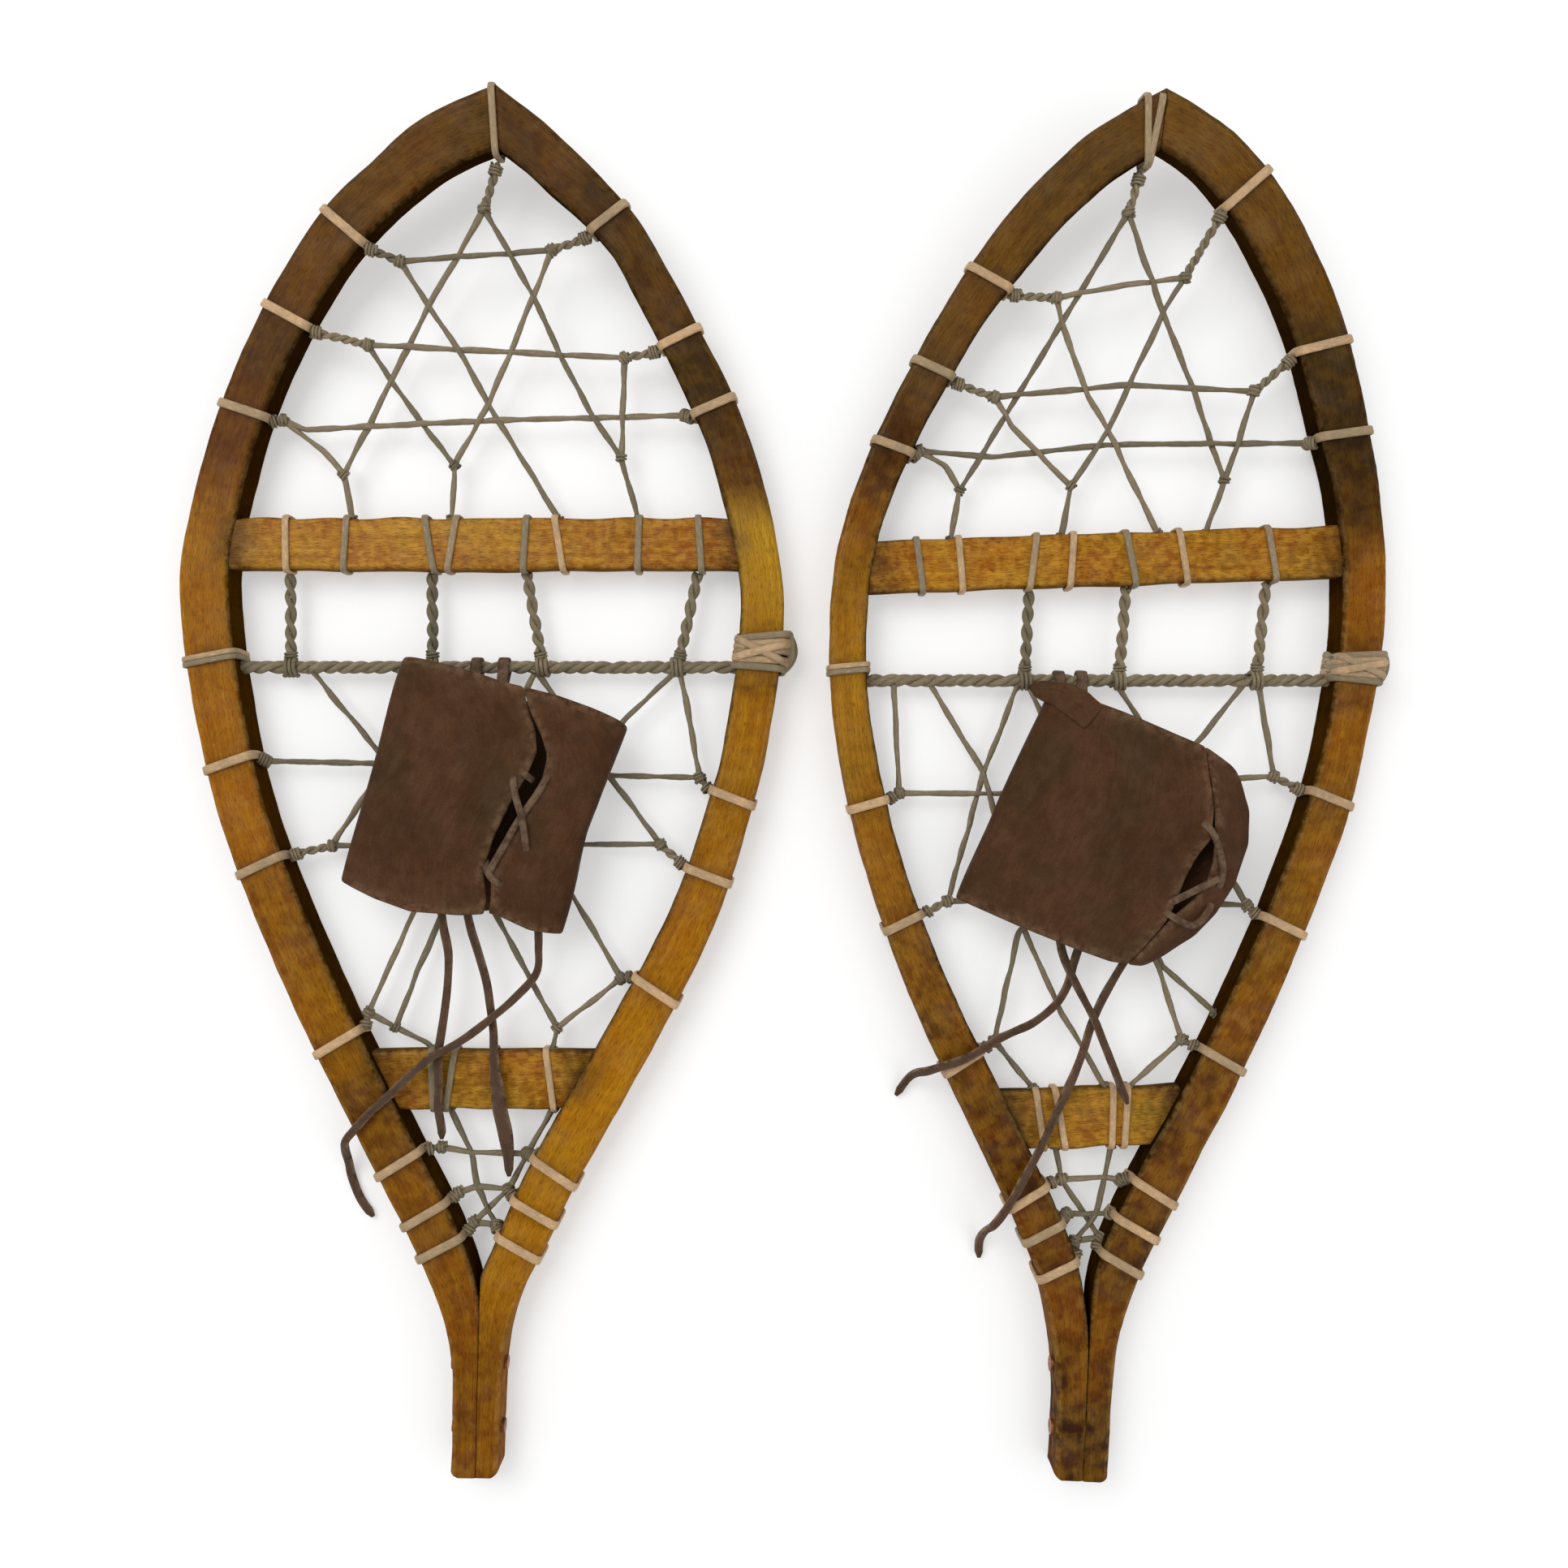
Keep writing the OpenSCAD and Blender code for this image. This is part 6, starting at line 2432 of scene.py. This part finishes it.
@dataclass(frozen=True)
class DullCopper(Finish):
    """Dulled copper: warm metal browned in patches."""

    def build(self, effects: Effects) -> bpy.types.Material:
        """The material.

        Args:
            effects: the shared groups.
        Returns:
            The new material.
        """
        made, g, place, _ = self.start()
        spots = effects.use(g, Effect.MOTTLE, Place=place, Scale=6.0)
        self.end(g, {
            "Base Color": g.layers(rgba((176, 112, 78)), [(spots["Broad"], (92, 58, 36))]),
            "Metallic": 0.85,
            "Roughness": g.span(spots["Fine"], 0, 1, 0.35, 0.6),
            "Normal": g.bumps(spots["Fine"], 0.0001),
        })
        return made


# ---------------------------------------------------------------- the scene


@dataclass
class Studio:
    """A pale floor, soft light and the camera straight above."""

    camera_at: tuple[float, float, float] = (-0.0006, 0.0065, 0.625)
    field: float = 59.1
    floor_half: float = 6.0
    floor_z: float = -0.0002
    glow: float = 0.36
    sky: float = 0.62

    def camera(self) -> None:
        """The camera: it looks down with the toes at the top."""
        data = bpy.data.cameras.new("Camera")
        data.sensor_width = 36.0
        data.lens = 18.0 / math.tan(math.radians(self.field / 2))
        data.clip_start = 0.01
        camera = add_object("Camera", data)
        camera.location = self.camera_at
        bpy.context.scene.camera = camera

    def floor(self) -> None:
        """The floor: a wide flat square, near white, that glows a little so that shadows
        stay faint."""
        mesh = bpy.data.meshes.new("Floor")
        half = self.floor_half
        square = ((-half, -half), (half, -half), (half, half), (-half, half))
        corners = [(x, y, self.floor_z) for x, y in square]
        mesh.from_pydata(corners, [], [(0, 1, 2, 3)])
        made = bpy.data.materials.new("PaleFloor")
        made.use_nodes = True
        made.node_tree.nodes.clear()
        g = Graph(made.node_tree)
        shader = g.node("ShaderNodeBsdfPrincipled", {
            "Base Color": (0.62, 0.62, 0.62, 1), "Roughness": 0.9,
            "Emission Color": (1, 1, 1, 1), "Emission Strength": self.glow,
        })
        g.node("ShaderNodeOutputMaterial", {"Surface": shader.outputs[0]})
        mesh.materials.append(made)
        add_object("Floor", mesh)

    def light(self, name: str, at: Sequence[float], size: float, power: float) -> None:
        """A square soft light that faces the middle of the floor.

        Args:
            name: the light's name.
            at: where it is.
            size: its side.
            power: in watts.
        """
        data = bpy.data.lights.new(name, "AREA")
        data.size, data.energy = size, power
        light = add_object(name, data)
        light.location = at
        light.rotation_mode = "QUATERNION"
        light.rotation_quaternion = (-Vector(at)).to_track_quat("-Z", "Y")

    def build(self) -> None:
        """The floor, the lights and an even white sky."""
        self.floor()
        self.light("Key", (-0.9, 0.9, 1.9), 1.4, 26.0)
        self.light("Fill", (1.3, -0.6, 1.7), 1.8, 9.0)
        world = bpy.data.worlds.new("Sky")
        world.use_nodes = True
        sky = world.node_tree.nodes["Background"].inputs
        sky["Color"].default_value = (1, 1, 1, 1)
        sky["Strength"].default_value = self.sky
        bpy.context.scene.world = world
        bpy.context.scene.view_settings.view_transform = "Standard"


BAR_SHADES = {
    "left_toe_bar": [
        (-130, (168, 124, 48)), (-60, (171, 130, 61)), (40, (157, 114, 50)), (100, (150, 96, 40)),
        (125, (120, 70, 30)),
    ],
    "left_heel_bar": [(-60, (132, 94, 32)), (0, (140, 102, 24)), (60, (128, 94, 17))],
    "right_toe_bar": [
        (-118, (120, 79, 44)), (-90, (171, 122, 39)), (0, (145, 107, 33)), (60, (150, 110, 34)),
        (110, (138, 94, 23)),
    ],
    "right_heel_bar": [(-60, (111, 76, 27)), (0, (150, 125, 39)), (50, (127, 95, 41))],
}

SLEEVES = {
    "left": Sleeve(
        LEFT,
        laces=[
            [(25.4, 20.6), (23.3, 10.9), (18.6, -3.1), (15, -17.9), (12.2, -30.3)],
            [(10.2, 16.1), (13.3, 8), (18.7, -0.6), (22.9, -9.1), (25.7, -17.2)],
            [(12.6, 17.6), (19, 14.4)],
            [(9, -24), (14, -30), (21, -33)],
        ],
        dips=[(16, 0, 13, 2.6), (-20, -10, 26, 1.2), (12, 38, 9, 1.5)],
    ),
    "right": Sleeve(
        RIGHT,
        laces=[
            [(29.2, 15.1), (35.7, 12.2), (42.6, 5.7), (47.6, -1.5), (49.4, -10.2)],
            [(49.5, -2.6), (43.6, -8.2), (36.5, -16.4), (30.4, -24.3)],
            [(28.7, -26.5), (44.2, -27.5), (49.7, -13.8)],
        ],
        dips=[(37, -10, 12, 2.2), (-18, 8, 30, 1.3)],
        flap=[
            (-29, 38, 17.6, 13), (-37, 40.5, 17.4, 13.5), (-45, 41.5, 16, 12), (-52, 41, 13.5, 9.5),
            (-58.5, 40.5, 11, 6),
        ],
        flat_size=(0.23, 0.1),
    ),
}


def dress(pieces: Iterable[bpy.types.Object], finish: bpy.types.Material) -> None:
    """Gives each piece its finish and reports it.

    Args:
        pieces: the pieces.
        finish: their material.
    """
    for piece in pieces:
        piece.data.materials.clear()
        piece.data.materials.append(finish)
        LOG.info("%s: %d points, %s", piece.name, len(piece.data.vertices), finish.name)


def main() -> None:
    """Builds the camera, the thongs, both shoes and the studio, in that order."""
    logging.basicConfig(level=logging.INFO, format="%(name)s: %(message)s")
    studio = Studio()
    studio.camera()
    effects = Effects()
    wood = VarnishedWood("RailWood").build(effects)
    bar_wood = VarnishedWood(
        "CrossbarWood", warm=(150, 84, 30), pale=(206, 160, 70), warmth=0.65, paleness=0.45, scale=1.6
    ).build(effects)
    rawhide = Rawhide("Rawhide").build(effects)
    leather = Leather("SleeveLeather").build(effects)
    thong = Leather(
        "ThongLeather",
        base=(84, 64, 50),
        red=(96, 70, 54),
        olive=(70, 56, 40),
        rubbed=(146, 122, 98),
        rubbing=0.9,
    ).build(effects)
    copper = DullCopper("DullCopper").build(effects)

    dress([t.build() for t in THONGS], thong)
    for plan in (LEFT, RIGHT):
        dress([Rail(plan, side).build() for side in Side], wood)
        toe, heel = plan.name + "_toe_bar", plan.name + "_heel_bar"
        bars = [
            Crossbar(plan, toe, plan.toe_bar, TOE_BAR, BAR_SHADES[toe]),
            Crossbar(plan, heel, plan.heel_bar, HEEL_BAR, BAR_SHADES[heel]),
        ]
        dress([bar.build() for bar in bars], bar_wood)
        dress(RawhideWork(plan).build(), rawhide)
        lacing, ties, *hide = SLEEVES[plan.name].build()
        dress([lacing, ties], thong)
        dress(hide, leather)
        dress([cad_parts[plan.name + "_tail_rivets"]], copper)
    studio.build()


if __name__ == "__main__":
    main()
